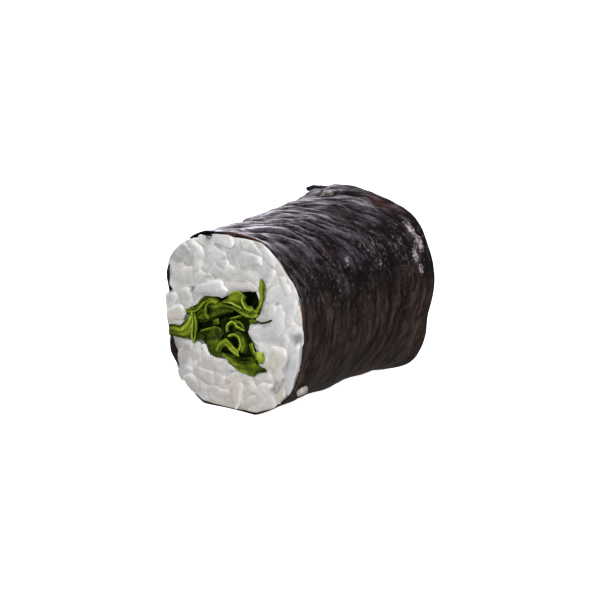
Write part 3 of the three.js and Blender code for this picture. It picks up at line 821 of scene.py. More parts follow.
def make_piece(name, points, faces, finish, values):
    mesh = bpy.data.meshes.new(name)
    mesh.from_pydata((points * MM).tolist(), [], faces)
    for title, numbers in values.items():
        kind, field = ("FLOAT", "value") if numbers.ndim == 1 else ("FLOAT_VECTOR", "vector")
        layer = mesh.attributes.new(title, kind, "POINT")
        layer.data.foreach_set(field, numbers.astype(np.float32).ravel())
    mesh.shade_smooth()
    mesh.materials.append(finish)
    piece = bpy.data.objects.new(name, mesh)
    bpy.context.scene.collection.objects.link(piece)
    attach(piece, "root")
    return piece


# Finishes: a wire is an output of a node, and sums on wires add the nodes that work them out

class Wire:
    def __init__(self, finish, socket):
        self.finish = finish
        self.socket = socket

    def sum(self, operation, first, second):
        return self.finish.node("ShaderNodeMath", {"operation": operation}, {0: first, 1: second})

    def __add__(self, other):
        return self.sum("ADD", self, other)

    def __radd__(self, other):
        return self.sum("ADD", other, self)

    def __sub__(self, other):
        return self.sum("SUBTRACT", self, other)

    def __rsub__(self, other):
        return self.sum("SUBTRACT", other, self)

    def __mul__(self, other):
        return self.sum("MULTIPLY", self, other)

    def __rmul__(self, other):
        return self.sum("MULTIPLY", other, self)


class Finish:
    def __init__(self, name):
        self.material = bpy.data.materials.new(name)
        self.material.use_nodes = True
        self.tree = self.material.node_tree
        self.tree.nodes.clear()

    def node(self, kind, settings, inputs, output=0):
        """Any node: its settings are set first, then the values or links of its sockets."""
        node = self.tree.nodes.new(kind)
        for name, value in settings.items():
            setattr(node, name, value)
        for key, value in inputs.items():
            if isinstance(value, Wire):
                self.tree.links.new(value.socket, node.inputs[key])
            else:
                node.inputs[key].default_value = value
        return None if output is None else Wire(self, node.outputs[output])

    def value(self, title):
        return self.node("ShaderNodeAttribute", {"attribute_name": title}, {}, "Fac")

    def vector(self, title):
        return self.node("ShaderNodeAttribute", {"attribute_name": title}, {}, "Vector")

    def parts(self, vector):
        return [self.node("ShaderNodeSeparateXYZ", {}, {0: vector}, axis) for axis in range(3)]

    def place(self):
        return self.node("ShaderNodeTexCoord", {}, {}, "Object")

    def noise(self, place, scale, detail=3.0, roughness=0.55, distortion=0.0):
        return self.node("ShaderNodeTexNoise", {"noise_dimensions": "3D"}, {
            "Vector": place, "Scale": scale, "Detail": detail,
            "Roughness": roughness, "Distortion": distortion,
        })

    def drawn_noise(self, place, scales, detail, roughness, distortion):
        """Noise with its own scale each way, so that it makes streaks."""
        place = self.node("ShaderNodeVectorMath", {"operation": "MULTIPLY"}, {0: place, 1: (*scales, 1.0)})
        return self.noise(place, 1.0, detail, roughness, distortion)

    def between(self, value, low, high):
        """0 where a value is at low, 1 where it is at high, smooth between."""
        return self.node("ShaderNodeMapRange", {"interpolation_type": "SMOOTHSTEP"}, {
            "Value": value, "From Min": low, "From Max": high, "To Min": 0.0, "To Max": 1.0,
        })

    def mixed(self, share, first, second):
        """A colour between two, as share goes from 0 to 1."""
        inputs = {0: share, 6: colour(first), 7: colour(second)}
        return self.node("ShaderNodeMix", {"data_type": "RGBA"}, inputs, 2)

    def layered(self, base, coats):
        """A colour with others laid over it in turn, each by its share."""
        for share, tint in coats:
            base = self.mixed(share, base, tint)
        return base

    def bumped(self, height, depth):
        return self.node("ShaderNodeBump", {}, {"Height": height, "Distance": depth * MM, "Strength": 1.0})

    def done(self, inputs):
        """The material, once its shader has its inputs."""
        shader = self.node("ShaderNodeBsdfPrincipled", {}, inputs)
        self.node("ShaderNodeOutputMaterial", {}, {"Surface": shader}, None)
        return self.material


def colour(value):
    return value if isinstance(value, Wire) else (*value, 1.0)


def nori_finish():
    finish = Finish("damp_nori")
    sheet = finish.vector("sheet")
    upward = finish.value("upward")
    ridge = finish.value("ridge")
    streak = finish.drawn_noise(sheet, (1.1, 0.45), 5.0, 0.68, 0.9)
    fibre = finish.drawn_noise(sheet, (3.0, 1.5), 4.0, 0.6, 0.8)
    shade = finish.drawn_noise(sheet, (0.5, 0.13), 5.0, 0.62, 1.0)
    speck = finish.noise(sheet, 2.6, 3.0, 0.6)
    shoulder = 4.0 * upward * (1.0 - upward)
    shadow = finish.between(shade, 0.61, 0.45) * shoulder
    glint = finish.between(0.5 * shade + 1.1 * fibre, 0.85, 1.01) * shoulder
    # How raised the sheet is, with its streaks: it lights the purple top with painted reflection, darkens
    # its valleys with painted shade and sets the coat
    ridge_light_and_streaks = 0.24 + 0.6 * ridge + 0.6 * (streak - 0.5) + 1.5 * (fibre - 0.5)
    starch_and_glint_mask = finish.between(finish.value("starch_and_glints") + 1.6 * (speck - 0.5), 0.30, 0.65)
    base = nori_ground(finish, sheet, ridge, ridge_light_and_streaks, fibre)
    # Painted shade in the wrinkles' valleys, pale fibre specks, a painted shadow over the shoulder and
    # painted glints on it
    base = finish.layered(base, [
        (finish.between(ridge, 0.44, 0.12) * (0.35 + 0.5 * upward), (0.003, 0.002, 0.002)),
        (finish.between(fibre, 0.55, 0.72) * 0.4, (0.10, 0.074, 0.072)),
        (shadow * 0.9, (0.003, 0.0025, 0.003)),
        (glint * 0.55, (0.20, 0.165, 0.185)),
    ])
    base = nori_wear(finish, base, sheet, speck, fibre)
    # Dried starch and painted glints, paler in flecks
    base = finish.layered(base, [
        (starch_and_glint_mask * 0.6, (0.20, 0.15, 0.16)),
        (starch_and_glint_mask * finish.between(fibre, 0.42, 0.62), (0.48, 0.41, 0.43)),
    ])
    relief = (0.8 * streak + 0.7 * fibre) * (0.6 + 0.4 * upward) + 0.5 * starch_and_glint_mask
    return finish.done({
        "Base Color": base,
        "Roughness": 0.36 + 0.28 * fibre - 0.14 * starch_and_glint_mask,
        "Specular IOR Level": 0.07,
        "Coat Weight": finish.value("sheen") * finish.between(ridge_light_and_streaks, 0.2, 0.9) * (1.0 - shadow),
        "Coat Roughness": 0.3,
        "Normal": finish.bumped(relief, 0.30),
    })


def nori_ground(finish, sheet, ridge, ridge_light_and_streaks, fibre):
    """The sheet's colour: purple on top, partly painted reflection, lighter on raised wrinkles as painted
    reflection and darker in their valleys as painted shade, and brown with long streaks on the flanks.
    """
    long_streak = finish.drawn_noise(sheet, (1.3, 0.13), 5.0, 0.65, 0.6)
    band = finish.drawn_noise(sheet, (0.42, 0.08), 3.0, 0.6, 0.6)
    low = 0.3 * ridge + 1.3 * (band - 0.5) + 1.1 * (long_streak - 0.5) + 0.7 * (fibre - 0.5)
    brown = finish.mixed(finish.between(low, -0.15, 0.70), (0.009, 0.0055, 0.0045), (0.082, 0.054, 0.046))
    purple = finish.mixed(finish.between(ridge_light_and_streaks, 0.20, 0.90), (0.005, 0.004, 0.005), (0.074, 0.058, 0.079))
    return finish.mixed(finish.value("upward"), brown, purple)


def nori_wear(finish, base, sheet, speck, fibre):
    """The colour with brown patches on the flanks, thin reddish spots, worn rims and pale creases."""
    patch = finish.noise(sheet, 0.3, 2.0, 0.5)
    rim = finish.between(finish.value("rim") + 0.5 * speck, 0.60, 0.35) * finish.value("brown_rim")
    crease = finish.between(finish.value("crease") + 0.9 * (fibre - 0.5), 0.25, 0.85)
    return finish.layered(base, [
        (finish.between(patch, 0.55, 0.75) * (1.0 - finish.value("upward")) * 0.3, (0.040, 0.019, 0.012)),
        (finish.value("reddish") * finish.between(speck, 0.35, 0.65) * 0.6, (0.11, 0.036, 0.032)),
        (rim * 0.85, (0.070, 0.031, 0.017)),
        (crease * 0.75, (0.17, 0.16, 0.12)),
    ])


def rice_finish():
    finish = Finish("cooked_rice")
    light, warm, shaded_gap = finish.parts(finish.vector("tone"))
    place = finish.place()
    mottle = finish.noise(place, 520.0, 3.0)
    grain = finish.noise(place, 2600.0, 2.0)
    cloud = finish.noise(place, 260.0, 2.0)
    fleck = finish.noise(place, 1200.0, 3.0, 0.65)
    base = finish.layered((0.31, 0.305, 0.30), [
        (light, (0.53, 0.525, 0.52)),
        (finish.between(warm, 0.0, 1.0) * 0.65, (0.50, 0.43, 0.35)),
        (finish.between(warm, 0.0, -1.0) * 0.5, (0.48, 0.49, 0.54)),
        (finish.between(mottle, 0.42, 0.66) * 0.35, (0.64, 0.635, 0.62)),
        (finish.between(cloud, 0.48, 0.68) * 0.35, (0.33, 0.33, 0.335)),
        (finish.between(fleck, 0.53, 0.70) * 0.4, (0.72, 0.715, 0.70)),
        (finish.between(fleck, 0.46, 0.32) * 0.35, (0.33, 0.325, 0.315)),
        # Painted light at the grains' edges, against the shade of the crevices between them
        (finish.between(finish.value("edge") + 0.3 * mottle, 0.55, 1.10) * 0.65, (0.74, 0.735, 0.72)),
        # Painted shade in the gaps between grains
        (shaded_gap * 0.9, (0.06, 0.055, 0.035)),
    ])
    return finish.done({
        "Base Color": base,
        "Roughness": 0.34 + 0.2 * grain,
        "Specular IOR Level": 0.35,
        "Subsurface Weight": 0.2,
        "Subsurface Radius": (1.0, 0.95, 0.9),
        "Subsurface Scale": 0.25 * MM,
        "Coat Weight": 0.25,
        "Coat Roughness": 0.25,
        "Normal": finish.bumped(mottle + 0.3 * grain, 0.06),
    })


def leaf_finish():
    finish = Finish("arugula_leaf")
    blade = finish.vector("blade")
    ribs = finish.drawn_noise(blade, (3.2, 0.6), 4.0, 0.6, 0.5)
    mottle = finish.noise(blade, 1.6, 4.0, 0.6)
    # The tone holds each line's painted light and shade, bright lips and dark hollows, with the leaf's own
    # ribs and mottle
    tone = finish.value("bright") + 1.1 * (ribs - 0.5) + 0.7 * (mottle - 0.5)
    base = finish.layered((0.0025, 0.005, 0.0004), [
        (finish.between(tone, -0.30, 0.05), (0.014, 0.027, 0.0015)),
        (finish.between(tone, 0.05, 0.40), (0.066, 0.100, 0.004)),
        (finish.between(tone, 0.40, 0.70), (0.17, 0.225, 0.012)),
        (finish.between(tone, 0.70, 1.10), (0.37, 0.46, 0.055)),
    ])
    return finish.done({
        "Base Color": base,
        "Roughness": 0.34 + 0.2 * mottle,
        "Specular IOR Level": 0.06,
        "Subsurface Weight": 0.1,
        "Subsurface Radius": (0.6, 1.0, 0.2),
        "Subsurface Scale": 0.3 * MM,
        "Normal": finish.bumped(ribs + 0.4 * mottle, 0.10),
    })


def floor_finish():
    finish = Finish("pale_table")
    cloud = finish.noise(finish.place(), 3.0)
    return finish.done({
        "Base Color": finish.mixed(cloud, (0.93, 0.93, 0.93), (0.95, 0.95, 0.95)),
        "Roughness": 0.9,
        "Specular IOR Level": 0.1,
        "Emission Color": (1.0, 1.0, 1.0, 1.0),
        "Emission Strength": 0.95,
    })


# Nori

def wound(t):
    """How far round the sheet is wound, from its inner edge to its outer edge."""
    return WHOLE_TURN + SEAM_OVERLAP + SEAM_SKEW * (1 - t) ** 2


def nori_outset(turned, t):
    """How far the sheet is off the roll: its lap, its loose flap, its bulging front and its creases."""
    edge = wound(t)
    climb = NORI_LAYER_STEP * smoothstep(turned, CLIMB_START, CLIMB_END)
    near_seam = smoothstep(turned, edge - FLAP_ANGLE, edge)
    near_flap = np.exp(-(((t - FLAP_PLACE) / FLAP_HALF_LENGTH) ** 2))
    at_edge = smoothstep(turned, edge - FLAP_CURL_ANGLE, edge)
    flap = FLAP_LIFT * near_seam * near_flap * (1 - FLAP_CURL * at_edge)
    near_edge = np.clip((edge - turned) / FRONT_BULGE_ANGLE, 0, 1)
    front = FRONT_BULGE * np.sin(np.pi * near_edge) * np.exp(-((t / FRONT_BULGE_LENGTH) ** 2))
    fold = creases(PALE_CREASES, turned, t) - creases(DARK_CREASES, turned, t)
    return climb + flap + front + CREASE_HEIGHT * fold


def creases(lines, turned, t):
    """How near places on the outer layer are to some creases, from 0 to 1."""
    degrees = np.degrees(SEAM_ANGLE - SEAM_OVERLAP + turned - WHOLE_TURN)
    scales = np.array([MM_PER_DEGREE, ROLL_LENGTH])
    most = np.zeros(t.shape)
    for start, end in np.array(lines):
        line = (end - start) * scales
        offset = (np.stack([degrees, t], axis=-1) - start) * scales
        share = np.clip((offset @ line) / (line @ line), 0, 1)
        distance = np.linalg.norm(offset - share[..., None] * line, axis=-1)
        half_width = CREASE_HALF_WIDTH * lerp(CREASE_ENDS, 1.0, np.sin(np.pi * share))
        most = np.maximum(most, np.exp(-((distance / half_width) ** 2)))
    return most


def flow(angle, t):
    """How far along the roll a place is, followed along the wrinkles to the flank."""
    return place_along(t) - FLOW_SWEEP * np.cos(angle - FLOW_ANGLE)


def sheet_noise(waves, angle, along):
    cells = angle / WHOLE_TURN * waves.cells
    return waves.height * smooth_noise(waves.seed, cells, along / waves.length, waves.cells)


def crumpled(noise):
    """Noise with its valleys made sharp, still from about -1 to 1."""
    return CRUMPLE_GAIN * np.abs(noise) - CRUMPLE_MIDDLE


def wrinkles(angle, t):
    """The crumpled relief of the sheet, from about -1 to 1: long folds on top, finer ones elsewhere."""
    along = flow(angle, t)
    for bend in WRINKLE_BENDS:
        along = along + sheet_noise(bend, angle, along)
    on_top = smoothstep(np.sin(angle), 0.3, 0.9)
    fold = lerp(*FOLD_SHARES, on_top) * crumpled(sheet_noise(FOLDS, angle, along))
    ripple = lerp(*RIPPLE_SHARES, on_top) * crumpled(sheet_noise(RIPPLES, angle, along))
    return fold + ripple + FINE_SHARE * sheet_noise(FINE_RIPPLES, angle, along)


def from_rim(t):
    """How far a place is from the nearer rim."""
    return np.minimum(t, 1 - t) * ROLL_LENGTH


def rim_lips(angle):
    """How far the front rim stands out as a lip."""
    return sum(spots(RIM_LIPS, angle, 0.0))


def rim_pull(angle, t):
    """How far places near the rims are moved along the roll, so that the rims are uneven."""
    front_wave = RIM_WAVE * noise_round(FRONT_RIM_SEED, angle, RIM_WAVES_ROUND)
    back_wave = RIM_WAVE * noise_round(BACK_RIM_SEED, angle, RIM_WAVES_ROUND)
    front = -(front_wave + rim_lips(angle)) * smoothstep(t, RIM_REACH, 0)
    return front + back_wave * smoothstep(t, 1 - RIM_REACH, 1)


def nori_relief(turned, angle, t, ridge, starch_and_glints):
    """How far the whole sheet is off the roll, with its wrinkles, what rice pushes out and small bumps of
    dried starch and of the painted glints.
    """
    upper = lerp(LOW_WRINKLES, 1.0, smoothstep(np.sin(angle), -0.2, 0.6))
    inner = lerp(RIM_WRINKLES, 1.0, smoothstep(from_rim(t), 0.0, 2.5))
    wrinkled = WRINKLE_HEIGHT * (upper * inner * ridge - WRINKLE_MIDDLE)
    grit = smooth_noise(STARCH_SEED, turned * STARCH_GRIT[0], t * STARCH_GRIT[1])
    pushed = most_of(FRONT_RISES, angle, t)
    return nori_outset(turned, t) + wrinkled + pushed + starch_and_glints * STARCH_HEIGHT * grit


def nori_values(turned, angle, t, ridge):
    """What the finish needs at places on the sheet."""
    upward = np.sin(angle)
    along = flow(angle, t)
    shade = BACK_SHADE * smoothstep(upward, 0.1, 0.5) * smoothstep(t, 0.45, 1.0)
    wave = smooth_noise(WANDER_SEED, along / WANDER_LENGTH + NOISE_CELLS / 2, 0 * t + 0.5)
    return {
        "sheet": np.stack([along, turned * MM_PER_RADIAN, t * 0], axis=-1),
        "rim": from_rim(t),
        "brown_rim": most_of(RIM_BROWNS, angle, t, 4),
        # upward sets where the purple top begins, whose colour is partly painted reflection
        "upward": smoothstep(upward + SHOULDER_WANDER * (ridge + wave), 0.1, 0.9),
        "sheen": SHEEN * smoothstep(upward, 0.3, 0.95) * lerp(1.0, 0.4, t),
        # ridge: the wrinkles' height, less painted shade towards the back of the top and in the dark folds
        "ridge": 0.5 + 0.5 * ridge - shade - DARK_CREASE_SHADE * creases(DARK_CREASES, turned, t),
        "reddish": most_of(REDDISH_SPOTS, angle, t),
        "starch_and_glints": most_of(STARCH_AND_GLINT_SPOTS, angle, t),
        "crease": creases(PALE_CREASES, turned, t),
    }


def rolled_corner():
    """Points, faces and values of the small dark roll at the back of the outer edge."""
    share = np.linspace(0, 1, ROLLED_STEPS)
    angle = np.radians(lerp(ROLLED_START[0], ROLLED_END[0], share))
    t = lerp(ROLLED_START[1], ROLLED_END[1], share)
    line = roll_points(angle, t, lerp(*ROLLED_LIFTS, share), 0.0)
    uneven = 1 + ROLLED_UNEVEN * smooth_noise(ROLLED_SEED, share * ROLLED_LUMPS[0], share * ROLLED_LUMPS[1])
    taper = np.sqrt(np.sin(np.pi * lerp(*ROLLED_TAPER, share)))
    radius = lerp(*ROLLED_RADII, share) * uneven * taper
    out = np.stack([np.cos(angle), 0 * angle, np.sin(angle)], axis=-1)
    turn = even_turns(ROLLED_SIDES)[None, :, None]
    rings = line[:, None] + radius[:, None, None] * (np.cos(turn) * (0, 1, 0) + np.sin(turn) * out[:, None])
    points, faces = closed_tube(rings, lerp(line[0], line[1], -ROLLED_TIP), line[-1])
    angle, t = (
        np.concatenate([part[:1], np.repeat(part, ROLLED_SIDES), part[-1:]]) for part in (angle, t)
    )
    turned = angle - SEAM_ANGLE + SEAM_OVERLAP + WHOLE_TURN
    return points, faces, nori_values(turned, angle, t, np.full(len(t), ROLLED_RIDGE))


def joined_values(sheet_values, corner_values):
    """Values of the sheet's outer side, its inner side, which is black with the full painted shade of the
    wrinkles' valleys, and its corner.
    """
    values = {}
    for title, part in sheet_values.items():
        outer = part.reshape(-1, *part.shape[2:])
        # The inner side gets no height in its wrinkles, so the finish paints it with the deepest valley
        # shade
        inner = 0 * outer if title == "ridge" else outer
        values[title] = np.concatenate([outer, inner, corner_values[title]])
    return values


def make_nori():
    t = np.linspace(0, 1, NORI_STEPS_ALONG + 1)[None, :]
    turned = np.linspace(0, 1, NORI_STEPS_ROUND + 1)[:, None] * wound(t)
    turned, t = np.broadcast_arrays(turned, t)
    angle = SEAM_ANGLE - SEAM_OVERLAP + turned
    ridge = wrinkles(angle, t)
    values = nori_values(turned, angle, t, ridge)
    outset = nori_relief(turned, angle, t, ridge, values["starch_and_glints"])
    pull = rim_pull(angle, t)[..., None] * (0, 1, 0)
    outer = roll_points(angle, t, outset, 0.0) + pull
    inner = roll_points(angle, t, outset - NORI_THICKNESS, NORI_THICKNESS) + pull
    corner_points, corner_faces, corner_values = rolled_corner()
    points, faces = joined([closed_sheet(outer, inner), (corner_points, corner_faces)])
    values = joined_values(values, corner_values)
    piece = make_piece("nori_sheet", points, faces, nori_finish(), values)
    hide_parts("nori")


# Rice. A place on a cut is how far across and up it is from the roll's axis.

def cut_scale(t):
    """How much wider and taller the roll is than at its front cut."""
    return np.array([
        lerp(FRONT_WIDTH, BACK_WIDTH, t) / FRONT_WIDTH,
        lerp(FRONT_HEIGHT, BACK_HEIGHT, t) / FRONT_HEIGHT,
    ])


def angle_of(places):
    return np.arctan2(places[..., 1], places[..., 0])


def share_out(places, t):
    """How far places on a cut are from the axis, as a share of the way to the nori's outer side."""
    return np.linalg.norm(places, axis=-1) / roll_radius(angle_of(places), t)


def nearest_on_outline(places, t):
    """For places on a cut: the nearest place on the leaves' outline, and whether they are inside it."""
    start = np.array(BUNDLE_OUTLINE) * cut_scale(t)
    end = np.roll(start, -1, axis=0)
    side = end - start
    offset = places[:, None, :] - start[None]
    share = np.clip((offset * side).sum(-1) / (side * side).sum(-1), 0, 1)
    foot = start[None] + share[..., None] * side[None]
    distance = np.linalg.norm(places[:, None, :] - foot, axis=-1)
    nearest = foot[np.arange(len(places)), distance.argmin(axis=1)]
    above = (start[None, :, 1] > places[:, None, 1]) != (end[None, :, 1] > places[:, None, 1])
    rise = np.where(side[:, 1] == 0, TINY, side[:, 1])
    crossing = start[:, 0] + (places[:, None, 1] - start[:, 1]) * side[:, 0] / rise
    inside = ((above & (places[:, None, 0] < crossing)).sum(axis=1) % 2) == 1
    return nearest, inside


def pushed_off_leaves(places, t, room):
    """Places moved off the leaves, and kept a little room away from them."""
    nearest, inside = nearest_on_outline(places, t)
    away = places - nearest
    distance = np.linalg.norm(away, axis=1)
    direction = away / np.maximum(distance, TINY)[:, None] * np.where(inside, -1, 1)[:, None]
    too_near = inside | (distance < room)
    return np.where(too_near[:, None], nearest + direction * room, places)


def kept_in_roll(places, t, room):
    """Places moved in from the nori, so that they keep some room from its inner side."""
    reach = np.linalg.norm(places, axis=1)
    limit = roll_radius(angle_of(places), t) - NORI_THICKNESS - room
    return places * np.minimum(1, limit / np.maximum(reach, TINY))[:, None]


def rim_room(places, t):
    """How much room rice that stands out of a cut keeps from the nori, below 0 where it bulges over."""
    if t == 1:
        return RIM_CLEARANCE
    angle = angle_of(places)
    leftward = -places[:, 0] / np.maximum(np.linalg.norm(places, axis=1), TINY)
    bulge = smoothstep(noise_round(RIM_BULGE_SEED, angle, RIM_BULGES_ROUND), 0.0, 0.4)
    over_rim = np.maximum(smoothstep(leftward, 0.4, 0.6), bulge)
    room = lerp(RIM_CLEARANCE, -NORI_THICKNESS - RIM_BULGE * bulge, over_rim)
    return room - most_of(PAST_RIM, angle, 0.0, 4)


def kept_under_nori(places, out, t):
    """Places moved in: what stands out of the cut stays in the rim, and what lies deeper clears the nori."""
    depth = np.maximum(-out, 0)
    share = depth / ROLL_LENGTH
    dent = EDGE_DENT * smoothstep(noise_round(EDGE_DENT_SEED, angle_of(places), EDGE_DENTS_ROUND), 0.0, 0.9)
    room = lerp(CLEARANCE, rim_room(places, t), smoothstep(out, -0.1, 0.2)) + DEEP_CLEARANCE * depth + dent
    return kept_in_roll(places, share if t == 0 else 1 - share, room)


def middle_lines(grains):
    """The middles, directions and half lengths of grains' middle lines."""
    middles = np.array([(g.across, g.up) for g in grains])
    turns = np.radians([g.angle for g in grains])
    halves = np.array([(g.length - g.width) / 2 for g in grains])
    return middles, np.stack([np.cos(turns), np.sin(turns)], axis=-1), halves


def grain_beads(grains):
    """Five places along each grain's middle line."""
    middles, along, halves = middle_lines(grains)
    return middles[:, None] + BEADS[None, :, None] * halves[:, None, None] * along[:, None]


def has_room(grain, grains, t):
    """Whether a grain lies clear of the leaves and the nori, and of other grains' middle lines."""
    beads = grain_beads([grain])[0]
    near_nori = np.linalg.norm(beads, axis=1) > roll_radius(angle_of(beads), t) - NORI_ROOM
    nearest, inside = nearest_on_outline(beads, t)
    near_leaves = np.linalg.norm(beads - nearest, axis=1) < LEAF_ROOM
    if near_nori.any() or inside.any() or near_leaves.any():
        return False
    if not grains:
        return True
    others = grain_beads(grains).reshape(-1, 2)
    return np.linalg.norm(beads[:, None] - others[None], axis=-1).min() > MIDDLE_LINE_ROOM


def random_grain(random, place, length, kind):
    return Grain(
        *place, length * random.uniform(*kind.lengths), GRAIN_WIDTH * random.uniform(*kind.widths),
        random.uniform(0, 180), random.uniform(*kind.lights), random.uniform(*kind.warms), noted=False,
    )


def spread_grains(t, seed):
    """The grains of a cut that fill its room, spread at random and then settled."""
    random = np.random.default_rng(seed)
    grains = []
    for length in np.repeat([GRAIN_LENGTH, *SHORT_LENGTHS], TRIES_PER_LENGTH):
        turn = random.uniform(0, WHOLE_TURN)
        out = CUT_REACH * math.sqrt(random.uniform(0, 1))
        grain = random_grain(random, (out * math.cos(turn), out * math.sin(turn)), length, FILLING)
        if has_room(grain, grains, t):
            grains.append(grain)
    return settle(grains, t)


def settle(grains, t):
    """Pushes grains apart where they lie too much over each other."""
    for _ in range(SETTLE_ROUNDS):
        beads = grain_beads(grains)
        push = bead_pushes(grains, beads, t)
        arms = beads - beads.mean(axis=1, keepdims=True)
        torque = (arms[..., 0] * push[..., 1] - arms[..., 1] * push[..., 0]).sum(axis=1)
        turns = torque / ((arms ** 2).sum(axis=(1, 2)) + TURN_DRAG)
        moves = push.mean(axis=1)
        grains = [
            g._replace(across=g.across + move[0], up=g.up + move[1], angle=g.angle + math.degrees(turn))
            for g, move, turn in zip(grains, moves, turns)
        ]
    return grains


def bead_pushes(grains, beads, t):
    """How far each bead of the grains is pushed by other grains, the leaves and the nori."""
    owner = np.repeat(np.arange(len(grains)), len(BEADS))
    widths = np.array([g.width for g in grains])[owner]
    wanted = GRAIN_SPACING * (widths[:, None] + widths[None]) / 2
    centres = beads.reshape(-1, 2)
    apart = centres[:, None, :] - centres[None]
    distance = np.linalg.norm(apart, axis=-1)
    overlap = np.where(owner[:, None] == owner[None], 0, np.maximum(0, wanted - distance))
    push = (apart / np.maximum(distance, TINY)[..., None] * overlap[..., None]).sum(axis=1)
    held = pushed_off_leaves(kept_in_roll(centres, t, SETTLE_NORI_ROOM), t, SETTLE_LEAF_ROOM) - centres
    return (SETTLE_PUSH * push + SETTLE_HOLD * held).reshape(beads.shape)


def lower_grains(t, seed):
    """Grains under those that show, spread at random where there are no leaves."""
    random = np.random.default_rng(seed)
    grains = []
    while len(grains) < GRAINS_BELOW:
        place = random.uniform(-CUT_REACH, CUT_REACH, 2)
        if math.hypot(*place) > roll_radius(angle_of(place), t) - NORI_ROOM_BELOW:
            continue
        grain = random_grain(random, place, GRAIN_LENGTH, BELOW)
        inside = nearest_on_outline(grain_beads([grain])[0], t)[1]
        if not inside.any():
            grains.append(grain)
    return grains


def even_turns(count):
    """Angles at even steps round a whole turn."""
    return WHOLE_TURN * np.arange(count) / count


def grain_form():
    """A plump grain one unit long and wide each way from its middle: along, across and out."""
    latitude = np.pi * np.arange(1, GRAIN_RINGS + 1) / (GRAIN_RINGS + 1)
    longitude = even_turns(GRAIN_SIDES)
    along = -np.sign(np.cos(latitude)) * np.abs(np.cos(latitude)) ** GRAIN_ENDS
    around = np.sin(latitude) ** GRAIN_GIRTH
    rings = np.stack([
        np.repeat(along[:, None], GRAIN_SIDES, axis=1),
        around[:, None] * np.cos(longitude)[None],
        around[:, None] * np.sin(longitude)[None],
    ], axis=-1)
    return closed_tube(rings, (-1, 0, 0), (1, 0, 0))


def crown(places, t):
    """How far the rice stands out of a cut, in front of the nori's rim."""
    angle = angle_of(places)
    side = lerp(CROWN_RIGHT, CROWN_LEFT, smoothstep(-np.cos(angle - CROWN_TURN), -0.5, 0.6))
    if t == 0:
        side = side - LIP_DIP * rim_lips(angle)
    return lerp(CROWN_MIDDLE, side, share_out(places, t) ** CROWN_ROUNDNESS)


def near_rim(places, t):
    """How near places on a cut are to the nori, from 0 to 1."""
    return smoothstep(share_out(places, t), *RIM_SHARES)


def gap_and_shade(places, t):
    """How much of a gap, sunk and painted dark with shade, lies at each place of a cut, from 0 to 1; the
    back cut has none.
    """
    most = np.zeros(places.shape[:-1])
    for across, up, half_length, half_width, degrees, darkness in SHADED_GAPS if t == 0 else ():
        turn = math.radians(degrees)
        offset = places - (across, up)
        along = offset[..., 0] * math.cos(turn) + offset[..., 1] * math.sin(turn)
        aside = offset[..., 1] * math.cos(turn) - offset[..., 0] * math.sin(turn)
        near = np.exp(-((along / half_length) ** 4) - (aside / half_width) ** 4)
        most = np.maximum(most, darkness * near)
    return most


def grain_distances(places, grains):
    """How far places are from each grain's middle line, over half the grain's width."""
    middles, along, halves = middle_lines(grains)
    offset = places[:, None, :] - middles[None]
    travel = np.clip((offset * along).sum(axis=-1), -halves, halves)
    half_widths = np.array([g.width for g in grains]) / 2
    return np.linalg.norm(offset - travel[..., None] * along, axis=-1) / half_widths


def fitted(places, number, grains):
    """The places of a grain's outline, drawn in to where its neighbours begin, and their roots."""
    (middle,), (along,), (half,) = middle_lines([grains[number]])
    travel = np.clip((places - middle) @ along, -half, half)
    root = middle + travel[:, None] * along
    if grains[number].noted:
        return places, root
    low = np.zeros(len(places))
    high = np.ones(len(places))
    for _ in range(FIT_ROUNDS):
        share = (low + high) / 2
        distances = grain_distances(root + share[:, None] * (places - root), grains)
        own = distances[:, number].copy()
        distances[:, number] = np.inf
        fits = own < distances.min(axis=1)
        low = np.where(fits, share, low)
        high = np.where(fits, high, share)
    reach = np.minimum(low * EDGE_OVERLAP, MOST_REACH)
    return root + reach[:, None] * (places - root), root


def on_cut(grain, along, aside):
    """Places on a cut that lie some way along a grain and aside of its middle."""
    turn = math.radians(grain.angle)
    across = grain.across + along * math.cos(turn) - aside * math.sin(turn)
    up = grain.up + along * math.sin(turn) + aside * math.cos(turn)
    return np.stack([across, up], axis=-1)


def grain_outline(number, grains, t, random):
    """A grain's outline on the cut, and the places on its middle line that it is drawn from."""
    grain = grains[number]
    turn = even_turns(OUTLINE_SIDES)
    half_width = grain.width / 2 * (1.0 if grain.noted else GRAIN_SWELL)
    half_length = grain.length / 2 + half_width - grain.width / 2
    along = half_length * np.sign(np.cos(turn)) * np.abs(np.cos(turn)) ** OUTLINE_SQUARENESS
    aside = half_width * np.sign(np.sin(turn)) * np.abs(np.sin(turn)) ** OUTLINE_SQUARENESS
    aside = aside + random.uniform(-OUTLINE_BEND, OUTLINE_BEND) * ((along / half_length) ** 2 - 0.4)
    starts = random.uniform(0, WHOLE_TURN, len(OUTLINE_WAVES))
    uneven = 1
    for (count, height), start in zip(OUTLINE_WAVES, starts):
        uneven = uneven + height * np.sin(count * turn + start)
    outline, root = fitted(on_cut(grain, along * uneven, aside * uneven), number, grains)
    return pushed_off_leaves(outline, t, OUTLINE_ROOM), root


